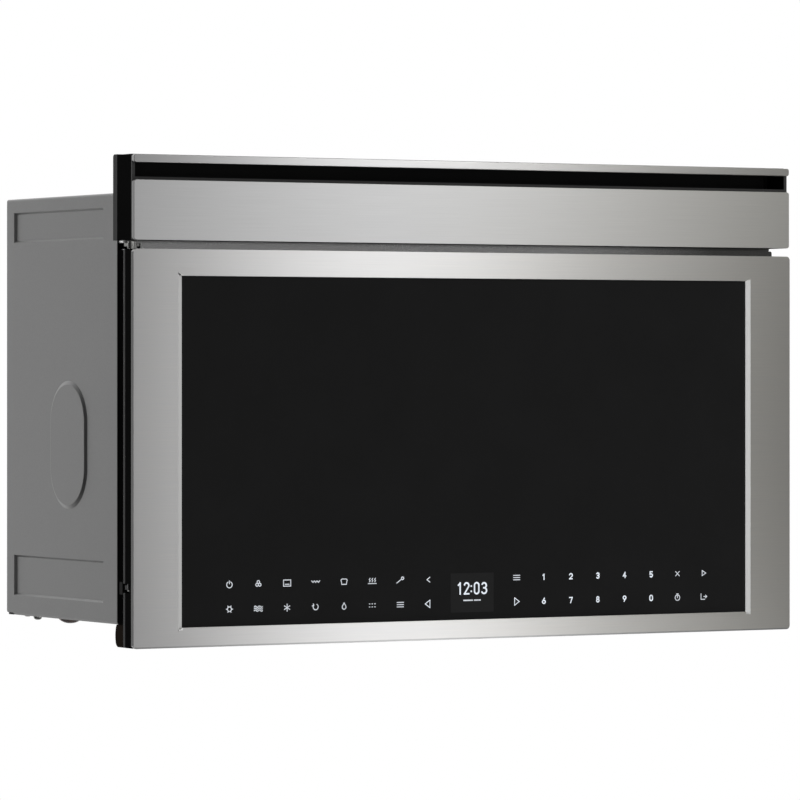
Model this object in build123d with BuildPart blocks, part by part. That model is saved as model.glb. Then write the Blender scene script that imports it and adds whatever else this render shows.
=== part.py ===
from build123d import *
from math import cos, radians, sin
import os

os.makedirs("parts", exist_ok=True)

# Cabinet-hung convection microwave oven with a flush, handleless, left-hinged door.
# Frame: X along the width, Y from the front to the wall, Z up.
# The origin is the centre of the flat back face, which rests on the wall.

# Overall sizes, in millimetres
front_width = 759.0
total_depth = 287.5
body_width = 751.0
body_height = 417.0
wrapper_depth = 246.5
sheet = 1.0

# Heights of the front's bands, downwards from the steel bar at the top
bar_top = 244.5
bar_height = 7.5
slot_height = 16.8
fascia_height = 57.8
fascia_gap = 8.4
door_height = 384.2

# Distances of the front's layers behind the door's front face
flange_depth = 4.5
door_frame_end = 17.9
door_depth = 21.5
frame_setback = 23.0
panel_setback = 31.0
carrier_end = 36.0
duct_end = 44.6

# Oven cavity, measured inside
cavity_left = -290.0
cavity_right = 230.0
cavity_floor = -130.0
cavity_ceiling = 108.0
cavity_back = -22.0
cavity_radius = 6.0

# Door hinge axis, and the window's visible glass
hinge_inset = 5.5
hinge_setback = 13.0
pin_radius = 3.0
running_clearance = 0.05
glass_half_width = 326.0
glass_top = 128.3
glass_bottom = -211.0
bevel_width = 5.0
bevel_depth = 2.2
bevel_mitre = 3.2

# Derived places
half_front = front_width / 2
half_body = body_width / 2
body_top = body_height / 2
body_bottom = -body_height / 2
front_y = -total_depth
bar_bottom = bar_top - bar_height
fascia_top = bar_bottom - slot_height
fascia_bottom = fascia_top - fascia_height
door_top = fascia_bottom - fascia_gap
door_bottom = door_top - door_height
fascia_half_width = half_front - 0.9
frame_front = front_y + frame_setback
panel_front = front_y + panel_setback
wrapper_front = -wrapper_depth
inner_x = half_body - sheet
inner_top = body_top - sheet
base_top = body_bottom + 2 * sheet
pin_x = -half_front + hinge_inset
pin_y = front_y + hinge_setback
cavity_x = (cavity_left + cavity_right) / 2
tray_y = (frame_front + 1.2 + cavity_back) / 2


def upright(y):
    """Plane that faces the room at the given Y."""
    return Plane.XZ.offset(-y)


def span(start, end):
    """Middle and length of a stretch."""
    return (start + end) / 2, abs(end - start)


def block(xs, ys, zs, mode=Mode.ADD):
    """Rectangular block between two values of X, Y and Z."""
    (x, dx), (y, dy), (z, dz) = span(*xs), span(*ys), span(*zs)
    with Locations((x, y, z)):
        Box(dx, dy, dz, mode=mode)


def rod(start, direction, radius, length, mode=Mode.ADD):
    """Round bar from a point along a direction."""
    with BuildSketch(Plane(origin=start, z_dir=direction)) as end_face:
        Circle(radius)
    extrude(end_face.sketch, amount=length, mode=mode)


def window(xs, zs, radius=0.0, mode=Mode.ADD):
    """Rectangle or rounded rectangle between two values of X and Z in an upright sketch."""
    (x, dx), (z, dz) = span(*xs), span(*zs)
    with Locations((x, z)):
        if radius:
            RectangleRounded(dx, dz, radius, mode=mode)
        else:
            Rectangle(dx, dz, mode=mode)


# Casing wrapper: an inverted U of sheet steel with pressed side panels
hem_width = 13.0
notch_length, notch_height = 14.5, 2.1
recess_depth = 2.0
recess_slope = 1.9
bulge_height = 1.8
bulge_slope = 3.8
bulge_edge_radius = 1.5
recess_y = (front_y + 72.0, front_y + 271.0)
upper_recess_z = (164.7, 194.8)
lower_recess_z = (-188.7, -148.2)
bulge_y, bulge_z = front_y + 147.3, -36.4
bulge_height_z, bulge_width_y = 126.3, 81.6
exhaust_x, exhaust_y = -30.0, -68.0
exhaust_length, exhaust_width = 254.0, 83.0
exhaust_screws_x, exhaust_screws_y = 290.0, 100.0
bolt_spacing, bolt_y, bolt_radius = 560.0, -215.0, 3.3
gland_x, gland_y, gland_radius = 310.0, -45.0, 11.2


def side_plane(side, distance):
    """Upright plane facing left (-1) or right (+1) at a distance from the middle."""
    return Plane(origin=(side * distance, 0, 0), x_dir=(0, 1, 0), z_dir=(1, 0, 0))


def pressed_recess(side, zs, grow):
    """Loft of one pressed rectangle, from the sheet's face to the recess's floor."""
    (y, dy), (z, dz) = span(*recess_y), span(*zs)
    start = half_body - (sheet if grow else 0)
    with BuildSketch(side_plane(side, start)) as face_outline:
        with Locations((y, z)):
            Rectangle(dy, dz)
    with BuildSketch(side_plane(side, start - recess_depth)) as floor_outline:
        with Locations((y, z)):
            Rectangle(dy - 2 * recess_slope, dz - 2 * recess_slope)
    outlines = [face_outline.sketch, floor_outline.sketch]
    loft(outlines, ruled=True, mode=Mode.ADD if grow else Mode.SUBTRACT)


def pressed_bulge(side, grow):
    """Loft of the pressed oval, from the sheet's face to the bulge's crown."""
    start = half_body - (0 if grow else sheet)
    outlines = []
    for distance, shrink in ((start, 0.0), (start + bulge_height, 2 * bulge_slope)):
        with BuildSketch(side_plane(side, distance)) as outline:
            with Locations((bulge_y, bulge_z)):
                SlotOverall(bulge_height_z - shrink, bulge_width_y - shrink, rotation=90)
        outlines.append(outline.sketch)
    loft(outlines, ruled=True, mode=Mode.ADD if grow else Mode.SUBTRACT)


with BuildPart() as outer_wrapper:
    with BuildSketch(Plane.XZ):
        RectangleRounded(body_width, body_height, 2.5)
        RectangleRounded(body_width - 2 * sheet, body_height - 2 * sheet, 1.5, mode=Mode.SUBTRACT)
        with Locations((0, body_bottom + sheet / 2)):
            Rectangle(body_width - 2 * hem_width, sheet, mode=Mode.SUBTRACT)
    extrude(amount=wrapper_depth)
    # The lower rear corners are notched for two tabs
    with BuildSketch(Plane.YZ):
        Polygon(
            (0, body_bottom), (0, body_bottom + notch_height + 1.5), (-1.5, body_bottom + notch_height),
            (-notch_length, body_bottom + notch_height), (-notch_length, body_bottom), align=None,
        )
    extrude(amount=half_body, both=True, mode=Mode.SUBTRACT)
    for side in (-1, 1):
        for zs in (upper_recess_z, lower_recess_z):
            pressed_recess(side, zs, grow=True)
            pressed_recess(side, zs, grow=False)
        pressed_bulge(side, grow=True)
        crown = outer_wrapper.faces().sort_by(Axis.X)[0 if side < 0 else -1]
        fillet(crown.edges(), radius=bulge_edge_radius)
        pressed_bulge(side, grow=False)
    with BuildSketch(Plane.XY.offset(body_top)):
        with Locations((exhaust_x, exhaust_y)):
            Rectangle(exhaust_length, exhaust_width)
            with GridLocations(exhaust_screws_x, exhaust_screws_y, 2, 2):
                Circle(2.2)
        with Locations((gland_x, gland_y)):
            Circle(gland_radius)
        with Locations((0, bolt_y)):
            with GridLocations(bolt_spacing, 1, 2, 1):
                Circle(bolt_radius)
    extrude(amount=-sheet, mode=Mode.SUBTRACT)

outer_wrapper.part.label = "outer_wrapper"
export_step(outer_wrapper.part, "parts/outer_wrapper.step")

# Rear panel: a shallow pan inside the wrapper, with two slots for the wall plate's hooks
hook_slot_x, hook_slot_z = 200.0, -172.0
with BuildPart() as rear_panel:
    with BuildSketch(Plane.XZ):
        window((-inner_x, inner_x), (base_top, inner_top), 1.5)
    extrude(amount=11.0)
    offset(amount=-sheet, openings=rear_panel.faces().sort_by(Axis.Y)[0])
    # Stiffening swages pressed into the sheet, clear of the middle of the back face
    with BuildSketch(Plane.XZ):
        for x in (-280.0, -140.0, 140.0, 280.0):
            with Locations((x, 0)):
                SlotOverall(300.0, 14.0, rotation=90)
    extrude(amount=0.6, mode=Mode.SUBTRACT)
    with BuildSketch(Plane.XZ):
        for x in (-hook_slot_x, hook_slot_x):
            with Locations((x, hook_slot_z)):
                Rectangle(34.0, 6.0)
    extrude(amount=sheet, mode=Mode.SUBTRACT)

rear_panel.part.label = "rear_panel"
export_step(rear_panel.part, "parts/rear_panel.step")

# Base plate: carries the grease filters, the cooktop lamps and the intake louvres
filter_length, filter_width, filter_height = 250.0, 100.0, 8.0
filter_y = -80.0
filter_xs = (-165.0, 105.0)
filter_gap = 1.0
lip_top = base_top + 8.0
lamp_radius = 15.0
lamp_centres = ((-332.9, front_y + 230.0), (332.9, front_y + 230.0))
with BuildPart() as base_plate:
    with BuildSketch(Plane.XY.offset(base_top)):
        with Locations((0, (wrapper_front - sheet) / 2)):
            Rectangle(2 * (inner_x - 1.6), wrapper_depth - sheet)
    extrude(amount=-sheet)
    # Upturned collars round the filters, with an in-turned lip that stops each filter
    with BuildSketch(Plane.XY.offset(base_top)):
        for x in filter_xs:
            with Locations((x, filter_y)):
                Rectangle(filter_length + 2 * (filter_gap + sheet), filter_width + 2 * (filter_gap + sheet))
    extrude(amount=lip_top - base_top)
    with BuildSketch(Plane.XY.offset(body_bottom + sheet)):
        for x in filter_xs:
            with Locations((x, filter_y)):
                Rectangle(filter_length + 2 * filter_gap, filter_width + 2 * filter_gap)
    extrude(amount=lip_top - sheet - body_bottom - sheet, mode=Mode.SUBTRACT)
    with BuildSketch(Plane.XY.offset(lip_top)):
        for x in filter_xs:
            with Locations((x, filter_y)):
                Rectangle(filter_length - 8.0, filter_width - 8.0)
    extrude(amount=-sheet, mode=Mode.SUBTRACT)
    with BuildSketch(Plane.XY.offset(base_top)):
        with Locations(*lamp_centres):
            Circle(lamp_radius - 2.0)
        with Locations((308.0, -170.0)):
            with GridLocations(9.0, 1, 9, 1):
                SlotOverall(70.0, 4.0, rotation=90)
        with Locations((-120.0, -205.0), (80.0, -205.0)):
            with GridLocations(9.0, 1, 8, 1):
                SlotOverall(40.0, 4.0, rotation=90)
    extrude(amount=-sheet, mode=Mode.SUBTRACT)

base_plate.part.label = "base_plate"
export_step(base_plate.part, "parts/base_plate.step")

# Front frame: the cavity's front plate with its folded rim
frame_sheet = 1.2
frame_half = half_body - 3.0
frame_top = 159.6
frame_bottom = body_bottom + sheet
frame_back = frame_front + frame_sheet
arm_left, arm_right = -373.5, -362.0
notch_right = arm_right + 2.0
arm_top, arm_bottom = 159.5, 156.5
lower_arm_top, lower_arm_bottom = -170.0, -174.0
hook_x = (344.0, 350.0)
hook_zs = (54.0, -116.0)
shank_height, barb_height, hook_lift = 10.0, 4.0, 4.6
pusher_x, pusher_z, pusher_radius = 347.0, -30.0, 4.0
lower_slot_z = (lower_arm_bottom - 1.5, lower_arm_top + 1.0)
lower_slot = ((-half_front, -365.5), (front_y, frame_back + 2.6), lower_slot_z)
with BuildPart() as front_frame:
    with BuildSketch(upright(frame_front)):
        window((-frame_half, frame_half), (frame_bottom, frame_top), 2.0)
    extrude(amount=-(wrapper_front - frame_front))
    offset(amount=-frame_sheet, openings=front_frame.faces().sort_by(Axis.Y)[-1])
    with BuildSketch(upright(frame_front)):
        window((cavity_left, cavity_right), (cavity_floor, cavity_ceiling), cavity_radius)
        for z in hook_zs:
            window((hook_x[0] - 2, hook_x[1] + 2), (z - barb_height - 1, z + shank_height + hook_lift + 1))
        with Locations((pusher_x, pusher_z)):
            Circle(pusher_radius + 0.4)
    extrude(amount=-frame_sheet, mode=Mode.SUBTRACT)
    # Corner cut for the upper hinge's arm, and a slot for the lower one
    corner_y = (frame_front - 1, wrapper_front + 1)
    block((-frame_half - 1, notch_right), corner_y, (door_top, frame_top + 1), Mode.SUBTRACT)
    block(*lower_slot, mode=Mode.SUBTRACT)

front_frame.part.label = "front_frame"
export_step(front_frame.part, "parts/front_frame.step")

# Upper front panel: zinc plate behind the fascia, with the vent air's outlet
duct_x = (-206.0, 146.0)
duct_z = (161.6, inner_top - frame_sheet)
with BuildPart() as upper_front_panel:
    with BuildSketch(upright(panel_front)):
        window((-inner_x, inner_x), (frame_top, inner_top), 1.5)
    extrude(amount=-16.5)
    offset(amount=-frame_sheet, openings=upper_front_panel.faces().sort_by(Axis.Y)[-1])
    panel_inner = inner_x - frame_sheet
    flange_z = (frame_top, frame_top + frame_sheet)
    block((-panel_inner, panel_inner), (panel_front + frame_sheet, 0), flange_z, Mode.SUBTRACT)
    with BuildSketch(upright(panel_front)):
        window((duct_x[0] + 1, duct_x[1] - 1), (duct_z[0] + 1, duct_z[1] - 1), 3.0)
    extrude(amount=-frame_sheet, mode=Mode.SUBTRACT)

upper_front_panel.part.label = "upper_front_panel"
export_step(upper_front_panel.part, "parts/upper_front_panel.step")

# Black moulded trims: two side strips and the rounded strip under the casing's front edge
trim_bottom = -230.2
trim_face = half_body - 0.5
button_y, button_z = (front_y + 30.9, front_y + 37.2), (-179.1, -167.0)
with BuildPart() as surround_trims:
    for side in (-1, 1):
        block((side * frame_half, side * trim_face), (frame_front, wrapper_front), (frame_bottom, 153.0))
        # Raised button of the snap that holds the strip
        block((side * trim_face, side * (trim_face + 0.4)), button_y, button_z)
    block(*lower_slot, mode=Mode.SUBTRACT)
    with BuildSketch(Plane.YZ.offset(-trim_face)):
        with BuildLine():
            Polyline((-243.6, body_bottom), (wrapper_front, body_bottom), (wrapper_front, frame_bottom))
            Polyline((wrapper_front, frame_bottom), (frame_front, frame_bottom), (frame_front, trim_bottom))
            Line((frame_front, trim_bottom), (-246.5, trim_bottom))
            ThreePointArc((-246.5, trim_bottom), (-243.2, trim_bottom + 1.4), (-241.2, trim_bottom + 5.0))
            ThreePointArc((-241.2, trim_bottom + 5.0), (-240.5, -219.0), (-241.4, -212.5))
            ThreePointArc((-241.4, -212.5), (-242.2, -210.3), (-243.6, body_bottom))
        make_face()
    extrude(amount=2 * trim_face)

surround_trims.part.label = "surround_trims"
export_step(surround_trims.part, "parts/surround_trims.step")

# Hinge brackets: a screwed leaf and a forward arm at the top and low on the left
with BuildPart() as hinge_brackets:
    with BuildSketch(Plane.XY.offset(arm_bottom)):
        with Locations((pin_x, pin_y)):
            Circle(4.6)
        Polygon(
            (pin_x - 4.6, pin_y), (pin_x + 4.6, pin_y), (arm_right, -266.0), (arm_right, panel_front),
            (arm_left, panel_front), (arm_left, -266.0), align=None,
        )
    extrude(amount=arm_top - arm_bottom)
    block((arm_left, arm_right), (panel_front - 2.0, panel_front), (arm_bottom, 200.0))
    rod((pin_x, pin_y, arm_bottom), (0, 0, -1), 4.6, arm_bottom - door_top - 0.3)
    with BuildSketch(Plane.XY.offset(lower_arm_bottom)):
        with Locations((pin_x, pin_y)):
            Circle(4.6)
        Polygon(
            (pin_x - 4.6, pin_y), (pin_x + 4.6, pin_y), (-366.0, -266.5), (-366.0, frame_back + 2),
            (-375.0, frame_back + 2), (-375.0, -268.0), align=None,
        )
    extrude(amount=lower_arm_top - lower_arm_bottom)
    block((-frame_half + frame_sheet, -345.0), (frame_back, frame_back + 2), (-200.0, -150.0))
    rod((pin_x, pin_y, lower_arm_top), (0, 0, 1), 4.6, 1.7)
    rod((pin_x, pin_y, lower_arm_bottom - 1), (0, 0, 1), pin_radius + 0.02, 8.0, Mode.SUBTRACT)
    rod((pin_x, pin_y, arm_top + 1), (0, 0, -1), pin_radius + 0.02, 8.0, Mode.SUBTRACT)

hinge_brackets.part.label = "hinge_brackets"
export_step(hinge_brackets.part, "parts/hinge_brackets.step")

# Headed hinge pins, the upper pointing down and the lower pointing up
pin_grip = 13.0
with BuildPart() as hinge_pins:
    rod((pin_x, pin_y, arm_top + 1.4), (0, 0, -1), 4.2, 1.4)
    rod((pin_x, pin_y, arm_top), (0, 0, -1), pin_radius, arm_top - door_top + pin_grip)
    rod((pin_x, pin_y, lower_arm_bottom - 1.4), (0, 0, 1), 4.2, 1.4)
    rod((pin_x, pin_y, lower_arm_bottom), (0, 0, 1), pin_radius, 6.0 + pin_grip)

hinge_pins.part.label = "hinge_pins"
export_step(hinge_pins.part, "parts/hinge_pins.step")

# Fascia carrier: black moulded tube behind the fascia that turns the vent air to the slot
carrier_front = front_y + flange_depth
carrier_back = front_y + carrier_end
wall = 3.2
rail_depth = 4.4
lip_height = 2.9
rear_rise = 0.6
carrier_top = bar_top + rear_rise
carrier_inner = fascia_half_width - wall
with BuildPart() as fascia_carrier:
    with BuildSketch(upright(carrier_front)):
        window((-fascia_half_width, fascia_half_width), (fascia_bottom, bar_top), 1.5)
        for zs in ((fascia_top + lip_height, bar_bottom), (fascia_bottom + wall, fascia_top - lip_height)):
            window((-carrier_inner, carrier_inner), zs, mode=Mode.SUBTRACT)
    extrude(amount=-rail_depth)
    with BuildSketch(upright(carrier_front + rail_depth)):
        window((-fascia_half_width, fascia_half_width), (fascia_bottom, carrier_top), 1.5)
        window((-carrier_inner, carrier_inner), (fascia_bottom + wall, bar_top - wall), mode=Mode.SUBTRACT)
    extrude(amount=-(carrier_back - carrier_front - rail_depth))
    floor_z = (fascia_bottom - 1, fascia_bottom + wall + 1)
    block((-carrier_inner, carrier_inner), (-262.0, carrier_back), floor_z, Mode.SUBTRACT)

fascia_carrier.part.label = "fascia_carrier"
export_step(fascia_carrier.part, "parts/fascia_carrier.step")

# Vent duct: dark moulding that closes the chamber over the casing's front edge
duct_back = front_y + duct_end
with BuildPart() as vent_duct:
    with BuildSketch(upright(carrier_back)):
        window((-fascia_half_width, fascia_half_width), (fascia_bottom, carrier_top + 0.4))
    extrude(amount=-(duct_back - carrier_back))
    fillet(vent_duct.edges().group_by(Axis.Z)[-1].sort_by(Axis.Y)[-1], radius=3.0)
    block((-half_body, half_body), (carrier_back, duct_back), (fascia_bottom - 1, body_top), Mode.SUBTRACT)
    hollow_z = (fascia_bottom, bar_top - wall)
    block((-carrier_inner, carrier_inner), (carrier_back, duct_back - 2.0), hollow_z, Mode.SUBTRACT)

vent_duct.part.label = "vent_duct"
export_step(vent_duct.part, "parts/vent_duct.step")


# Brushed-steel bar over the vent slot, and the fascia panel under it
pan_sheet = 0.7
pan_inner = fascia_half_width - pan_sheet
with BuildPart() as top_bar:
    with BuildSketch(upright(front_y)):
        window((-fascia_half_width, fascia_half_width), (bar_bottom, bar_top), 2.2)
    extrude(amount=-flange_depth)
    fillet(top_bar.faces().sort_by(Axis.Y)[0].edges(), radius=0.6)
    with BuildSketch(upright(carrier_front)):
        window((-pan_inner, pan_inner), (bar_bottom + pan_sheet, bar_top - pan_sheet), 1.5)
    extrude(amount=flange_depth - 0.8, mode=Mode.SUBTRACT)

top_bar.part.label = "top_bar"
export_step(top_bar.part, "parts/top_bar.step")

with BuildPart() as fascia_panel:
    with BuildSketch(upright(front_y)):
        window((-fascia_half_width, fascia_half_width), (fascia_bottom, fascia_top), 2.8)
    extrude(amount=-flange_depth)
    fillet(fascia_panel.faces().sort_by(Axis.Y)[0].edges(), radius=0.35)
    with BuildSketch(upright(carrier_front)):
        window((-pan_inner, pan_inner), (fascia_bottom + pan_sheet, fascia_top - pan_sheet), 2.1)
    extrude(amount=flange_depth - 0.8, mode=Mode.SUBTRACT)

fascia_panel.part.label = "fascia_panel"
export_step(fascia_panel.part, "parts/fascia_panel.step")

# Charcoal filter cassette behind the fascia, standing on the carrier's lower wall
with BuildPart() as charcoal_filter:
    with BuildSketch(upright(-275.0)):
        window((-190.0, 190.0), (fascia_bottom + wall, fascia_top - 4.0), 2.0)
    extrude(amount=-12.0)
    with BuildSketch(upright(-275.0)):
        window((-184.0, 184.0), (fascia_bottom + wall + 6, fascia_top - 10.0))
    extrude(amount=-2.0, mode=Mode.SUBTRACT)
    with BuildSketch(upright(-273.0)):
        with GridLocations(26.0, 1, 13, 1):
            with Locations((0, (fascia_bottom + fascia_top) / 2)):
                Rectangle(2.0, fascia_height - 15.0)
    extrude(amount=1.5)

charcoal_filter.part.label = "charcoal_filter"
export_step(charcoal_filter.part, "parts/charcoal_filter.step")

# Underside pieces: corner tabs, screws and the two domed lamp lenses
plate_bottom = body_bottom + sheet
tab_y = (-notch_length + 0.2, -4.0)
tab_step = inner_x - 1.5
with BuildPart() as rear_tabs:
    for side in (-1, 1):
        block((side * (half_body - 0.2), side * tab_step), tab_y, (body_bottom + 0.1, base_top))
        block((side * tab_step, side * 363.0), tab_y, (body_bottom + 0.1, plate_bottom))

rear_tabs.part.label = "rear_tabs"
export_step(rear_tabs.part, "parts/rear_tabs.step")

hem_screws = [(368.5, -56.5, body_bottom)]
plate_screws = [(357.5, -11.0, plate_bottom), (340.0, -120.0, plate_bottom), (340.0, -226.0, plate_bottom)]
with BuildPart() as base_screws:
    for side in (-1, 1):
        for distance, y, z in hem_screws + plate_screws:
            x = side * distance
            with BuildSketch(Plane.XZ.offset(-y)):
                with BuildLine():
                    Polyline((x, z), (x, z - 3.4), (x + 1.8, z - 3.4))
                    ThreePointArc((x + 1.8, z - 3.4), (x + 3.7, z - 2.3), (x + 4.5, z))
                    Line((x + 4.5, z), (x, z))
                make_face()
            revolve(axis=Axis((x, y, 0), (0, 0, 1)))

base_screws.part.label = "base_screws"
export_step(base_screws.part, "parts/base_screws.step")

dome_drop = 8.8
with BuildPart() as cooktop_lamps:
    for x, y in lamp_centres:
        with BuildSketch(Plane.XZ.offset(-y)):
            with BuildLine():
                Line((x, plate_bottom), (x, plate_bottom - dome_drop))
                rim = (x + lamp_radius, plate_bottom)
                ThreePointArc((x, plate_bottom - dome_drop), (x + 10.5, plate_bottom - 5.6), rim)
                Line((x + lamp_radius, plate_bottom), (x, plate_bottom))
            make_face()
        revolve(axis=Axis((x, y, 0), (0, 0, 1)))
        rod((x, y, plate_bottom), (0, 0, 1), lamp_radius - 2.3, 14.0)

cooktop_lamps.part.label = "cooktop_lamps"
export_step(cooktop_lamps.part, "parts/cooktop_lamps.step")

# Grease filters: aluminium frames with a pleated screen and a pull tab
for name, x in zip(("grease_filter_left", "grease_filter_right"), filter_xs):
    with BuildPart() as grease_filter:
        filter_top = lip_top - sheet
        with BuildSketch(Plane.XY.offset(filter_top)):
            with Locations((x, filter_y)):
                RectangleRounded(filter_length, filter_width, 3.0)
        extrude(amount=-filter_height)
        with BuildSketch(Plane.XY.offset(filter_top - filter_height)):
            with Locations((x, filter_y)):
                Rectangle(filter_length - 16.0, filter_width - 16.0)
        extrude(amount=2.0, mode=Mode.SUBTRACT)
        with BuildSketch(Plane.XY.offset(filter_top - filter_height + 2.0)):
            with Locations((x, filter_y)):
                with GridLocations(13.0, 1, 17, 1):
                    Rectangle(5.0, filter_width - 16.0)
        extrude(amount=-1.2)
        with BuildSketch(Plane.XY.offset(filter_top - filter_height)):
            with Locations((x, filter_y - filter_width / 2 + 4.0)):
                SlotOverall(24.0, 6.0)
        extrude(amount=-2.5)
    grease_filter.part.label = name
    export_step(grease_filter.part, "parts/" + name + ".step")

# Oven cavity: enamelled liner with its air, lamp, probe and microwave ports
liner = 1.0
convection_y, convection_z = tray_y, -10.0
port_y, port_z = (-172.0, -102.0), (-15.0, 32.0)
lamp_y, lamp_z = -215.0, 78.0
probe_y, probe_z = -232.0, -30.0
with BuildPart() as cavity_shell:
    with BuildSketch(upright(frame_back)):
        outer_z = (cavity_floor - liner, cavity_ceiling + liner)
        window((cavity_left - liner, cavity_right + liner), outer_z, cavity_radius + liner)
    extrude(amount=-(cavity_back + liner - frame_back))
    with BuildSketch(upright(frame_back)):
        window((cavity_left, cavity_right), (cavity_floor, cavity_ceiling), cavity_radius)
    extrude(amount=-(cavity_back - frame_back), mode=Mode.SUBTRACT)
    # Turntable shaft hole in the floor
    rod((cavity_x, tray_y, cavity_floor + 1), (0, 0, -1), 4.5, 4.0, Mode.SUBTRACT)
    # Convection air: radial slots for the inlet and a ring of outlets
    with BuildSketch(side_plane(-1, -cavity_left + liner)):
        with Locations((convection_y, convection_z)):
            with PolarLocations(32.0, 12):
                Rectangle(32.0, 6.0)
            with PolarLocations(74.0, 16):
                Rectangle(12.0, 8.0)
    extrude(amount=liner, mode=Mode.SUBTRACT)
    # Right wall: microwave port, lamp window and probe socket
    block((cavity_right, cavity_right + liner), port_y, port_z, Mode.SUBTRACT)
    rod((cavity_right - 1, lamp_y, lamp_z), (1, 0, 0), 13.0, 3.0, Mode.SUBTRACT)
    rod((cavity_right - 1, probe_y, probe_z), (1, 0, 0), 5.5, 3.0, Mode.SUBTRACT)
    # Steam vents high in the back wall
    with BuildSketch(upright(cavity_back)):
        with Locations((150.0, 70.0)):
            with GridLocations(10.0, 1, 8, 1):
                Rectangle(5.0, 22.0)
    extrude(amount=-liner, mode=Mode.SUBTRACT)

cavity_shell.part.label = "cavity_shell"
export_step(cavity_shell.part, "parts/cavity_shell.step")

# Mica cover over the microwave port
with BuildPart() as waveguide_cover:
    with BuildSketch(Plane.YZ.offset(cavity_right - 1.2)):
        with Locations((sum(port_y) / 2, sum(port_z) / 2)):
            RectangleRounded(86.0, 62.0, 4.0)
    extrude(amount=1.2)

waveguide_cover.part.label = "waveguide_cover"
export_step(waveguide_cover.part, "parts/waveguide_cover.step")

# Waveguide on the liner's right wall, with the magnetron's port in its outer face
guide_x = (cavity_right + liner, 269.0)
antenna_y, antenna_z = -137.0, 72.0
with BuildPart() as waveguide:
    block(guide_x, (-187.0, -87.0), (-30.0, 104.0))
    offset(amount=-1.2, openings=waveguide.faces().sort_by(Axis.X)[0])
    rod((guide_x[1] - 3, antenna_y, antenna_z), (1, 0, 0), 10.5, 5.0, Mode.SUBTRACT)
    with BuildSketch(Plane.YZ.offset(guide_x[0])):
        with Locations((-137.0, 37.0)):
            Rectangle(116.0, 134.0)
            Rectangle(97.6, 131.6, mode=Mode.SUBTRACT)
    extrude(amount=1.2)

waveguide.part.label = "waveguide"
export_step(waveguide.part, "parts/waveguide.step")

# Magnetron: anode, cooling fins, yoke, filter box and antenna
magnetron_x = guide_x[1]
with BuildPart() as magnetron:
    with BuildSketch(Plane.YZ.offset(magnetron_x)):
        with Locations((antenna_y, antenna_z)):
            RectangleRounded(92.0, 84.0, 3.0)
    extrude(amount=2.0)
    rod((magnetron_x - 16.0, antenna_y, antenna_z), (1, 0, 0), 7.5, 18.0)
    rod((magnetron_x, antenna_y, antenna_z), (1, 0, 0), 19.0, 60.0)
    for index in range(7):
        with BuildSketch(Plane.YZ.offset(magnetron_x + 14.0 + index * 6.0)):
            with Locations((antenna_y, antenna_z)):
                Rectangle(70.0, 66.0)
        extrude(amount=1.0)
    # Steel yoke round the fins, open at the front and back for the air
    with BuildSketch(upright(antenna_y - 38.0)):
        with Locations((magnetron_x + 30.0, antenna_z)):
            Rectangle(60.0, 80.0)
            Rectangle(56.0, 76.0, mode=Mode.SUBTRACT)
    extrude(amount=-76.0)
    # Filter box with its plug
    box_x = (magnetron_x + 58.0, magnetron_x + 80.0)
    plug_x = (magnetron_x + 62.0, magnetron_x + 74.0)
    block(box_x, (antenna_y - 26, antenna_y + 26), (antenna_z - 24, antenna_z + 24))
    block(plug_x, (antenna_y + 26, antenna_y + 40), (antenna_z - 8, antenna_z + 8))

magnetron.part.label = "magnetron"
export_step(magnetron.part, "parts/magnetron.step")

# High-voltage transformer: laminated core with two windings round the middle limb
core_x, core_y = 310.0, -128.0
core_z = base_top + 34.0
with BuildPart() as transformer:
    with BuildSketch(upright(core_y - 26.0)):
        with Locations((core_x, core_z)):
            Rectangle(90.0, 68.0)
            with GridLocations(46.0, 1, 2, 1):
                Rectangle(20.0, 42.0, mode=Mode.SUBTRACT)
    extrude(amount=-52.0)
    with BuildSketch(upright(core_y - 42.0)):
        with Locations((core_x, core_z + 10.5)):
            RectangleRounded(66.0, 19.0, 8.0)
        with Locations((core_x, core_z - 10.5)):
            RectangleRounded(66.0, 19.0, 8.0)
    extrude(amount=-84.0)

transformer.part.label = "transformer"
export_step(transformer.part, "parts/transformer.step")

# Oval high-voltage capacitor with its two blade terminals
with BuildPart() as capacitor:
    with BuildSketch(Plane.XY.offset(base_top)):
        with Locations((300.0, -220.0)):
            SlotOverall(52.0, 32.0)
    extrude(amount=86.0)
    for x in (290.0, 310.0):
        block((x - 3, x + 3), (-220.5, -219.5), (base_top + 86.0, base_top + 97.0))

capacitor.part.label = "capacitor"
export_step(capacitor.part, "parts/capacitor.step")

# Cooling fan: a baffle with its round inlet and the motor on a three-armed spider
fan_x, fan_z, fan_radius = 304.0, -100.0, 58.0
baffle_y = -44.0
with BuildPart() as cooling_fan_frame:
    with BuildSketch(upright(baffle_y - 2.0)):
        window((234.0, 371.0), (base_top, 60.0))
        window((317.0, 349.0), (base_top, base_top + 16.0), mode=Mode.SUBTRACT)
        with Locations((fan_x, fan_z)):
            Circle(fan_radius + 2.0, mode=Mode.SUBTRACT)
    extrude(amount=-2.0)
    with BuildSketch(upright(baffle_y - 22.0)):
        with Locations((fan_x, fan_z)):
            Circle(fan_radius + 4.0)
            Circle(fan_radius + 2.0, mode=Mode.SUBTRACT)
    extrude(amount=-22.0)
    with BuildSketch(upright(baffle_y)):
        with Locations((fan_x, fan_z)):
            Circle(24.0)
            with PolarLocations(42.0, 3, start_angle=90.0):
                Rectangle(44.0, 8.0)
            with Locations((0, 0)):
                Circle(pin_radius + running_clearance, mode=Mode.SUBTRACT)
    extrude(amount=-2.0)
    rod((fan_x, baffle_y + 2.0, fan_z), (0, 1, 0), 24.0, 28.0)
    rod((fan_x, baffle_y - 1.0, fan_z), (0, 1, 0), pin_radius + running_clearance, 20.0, Mode.SUBTRACT)

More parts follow.
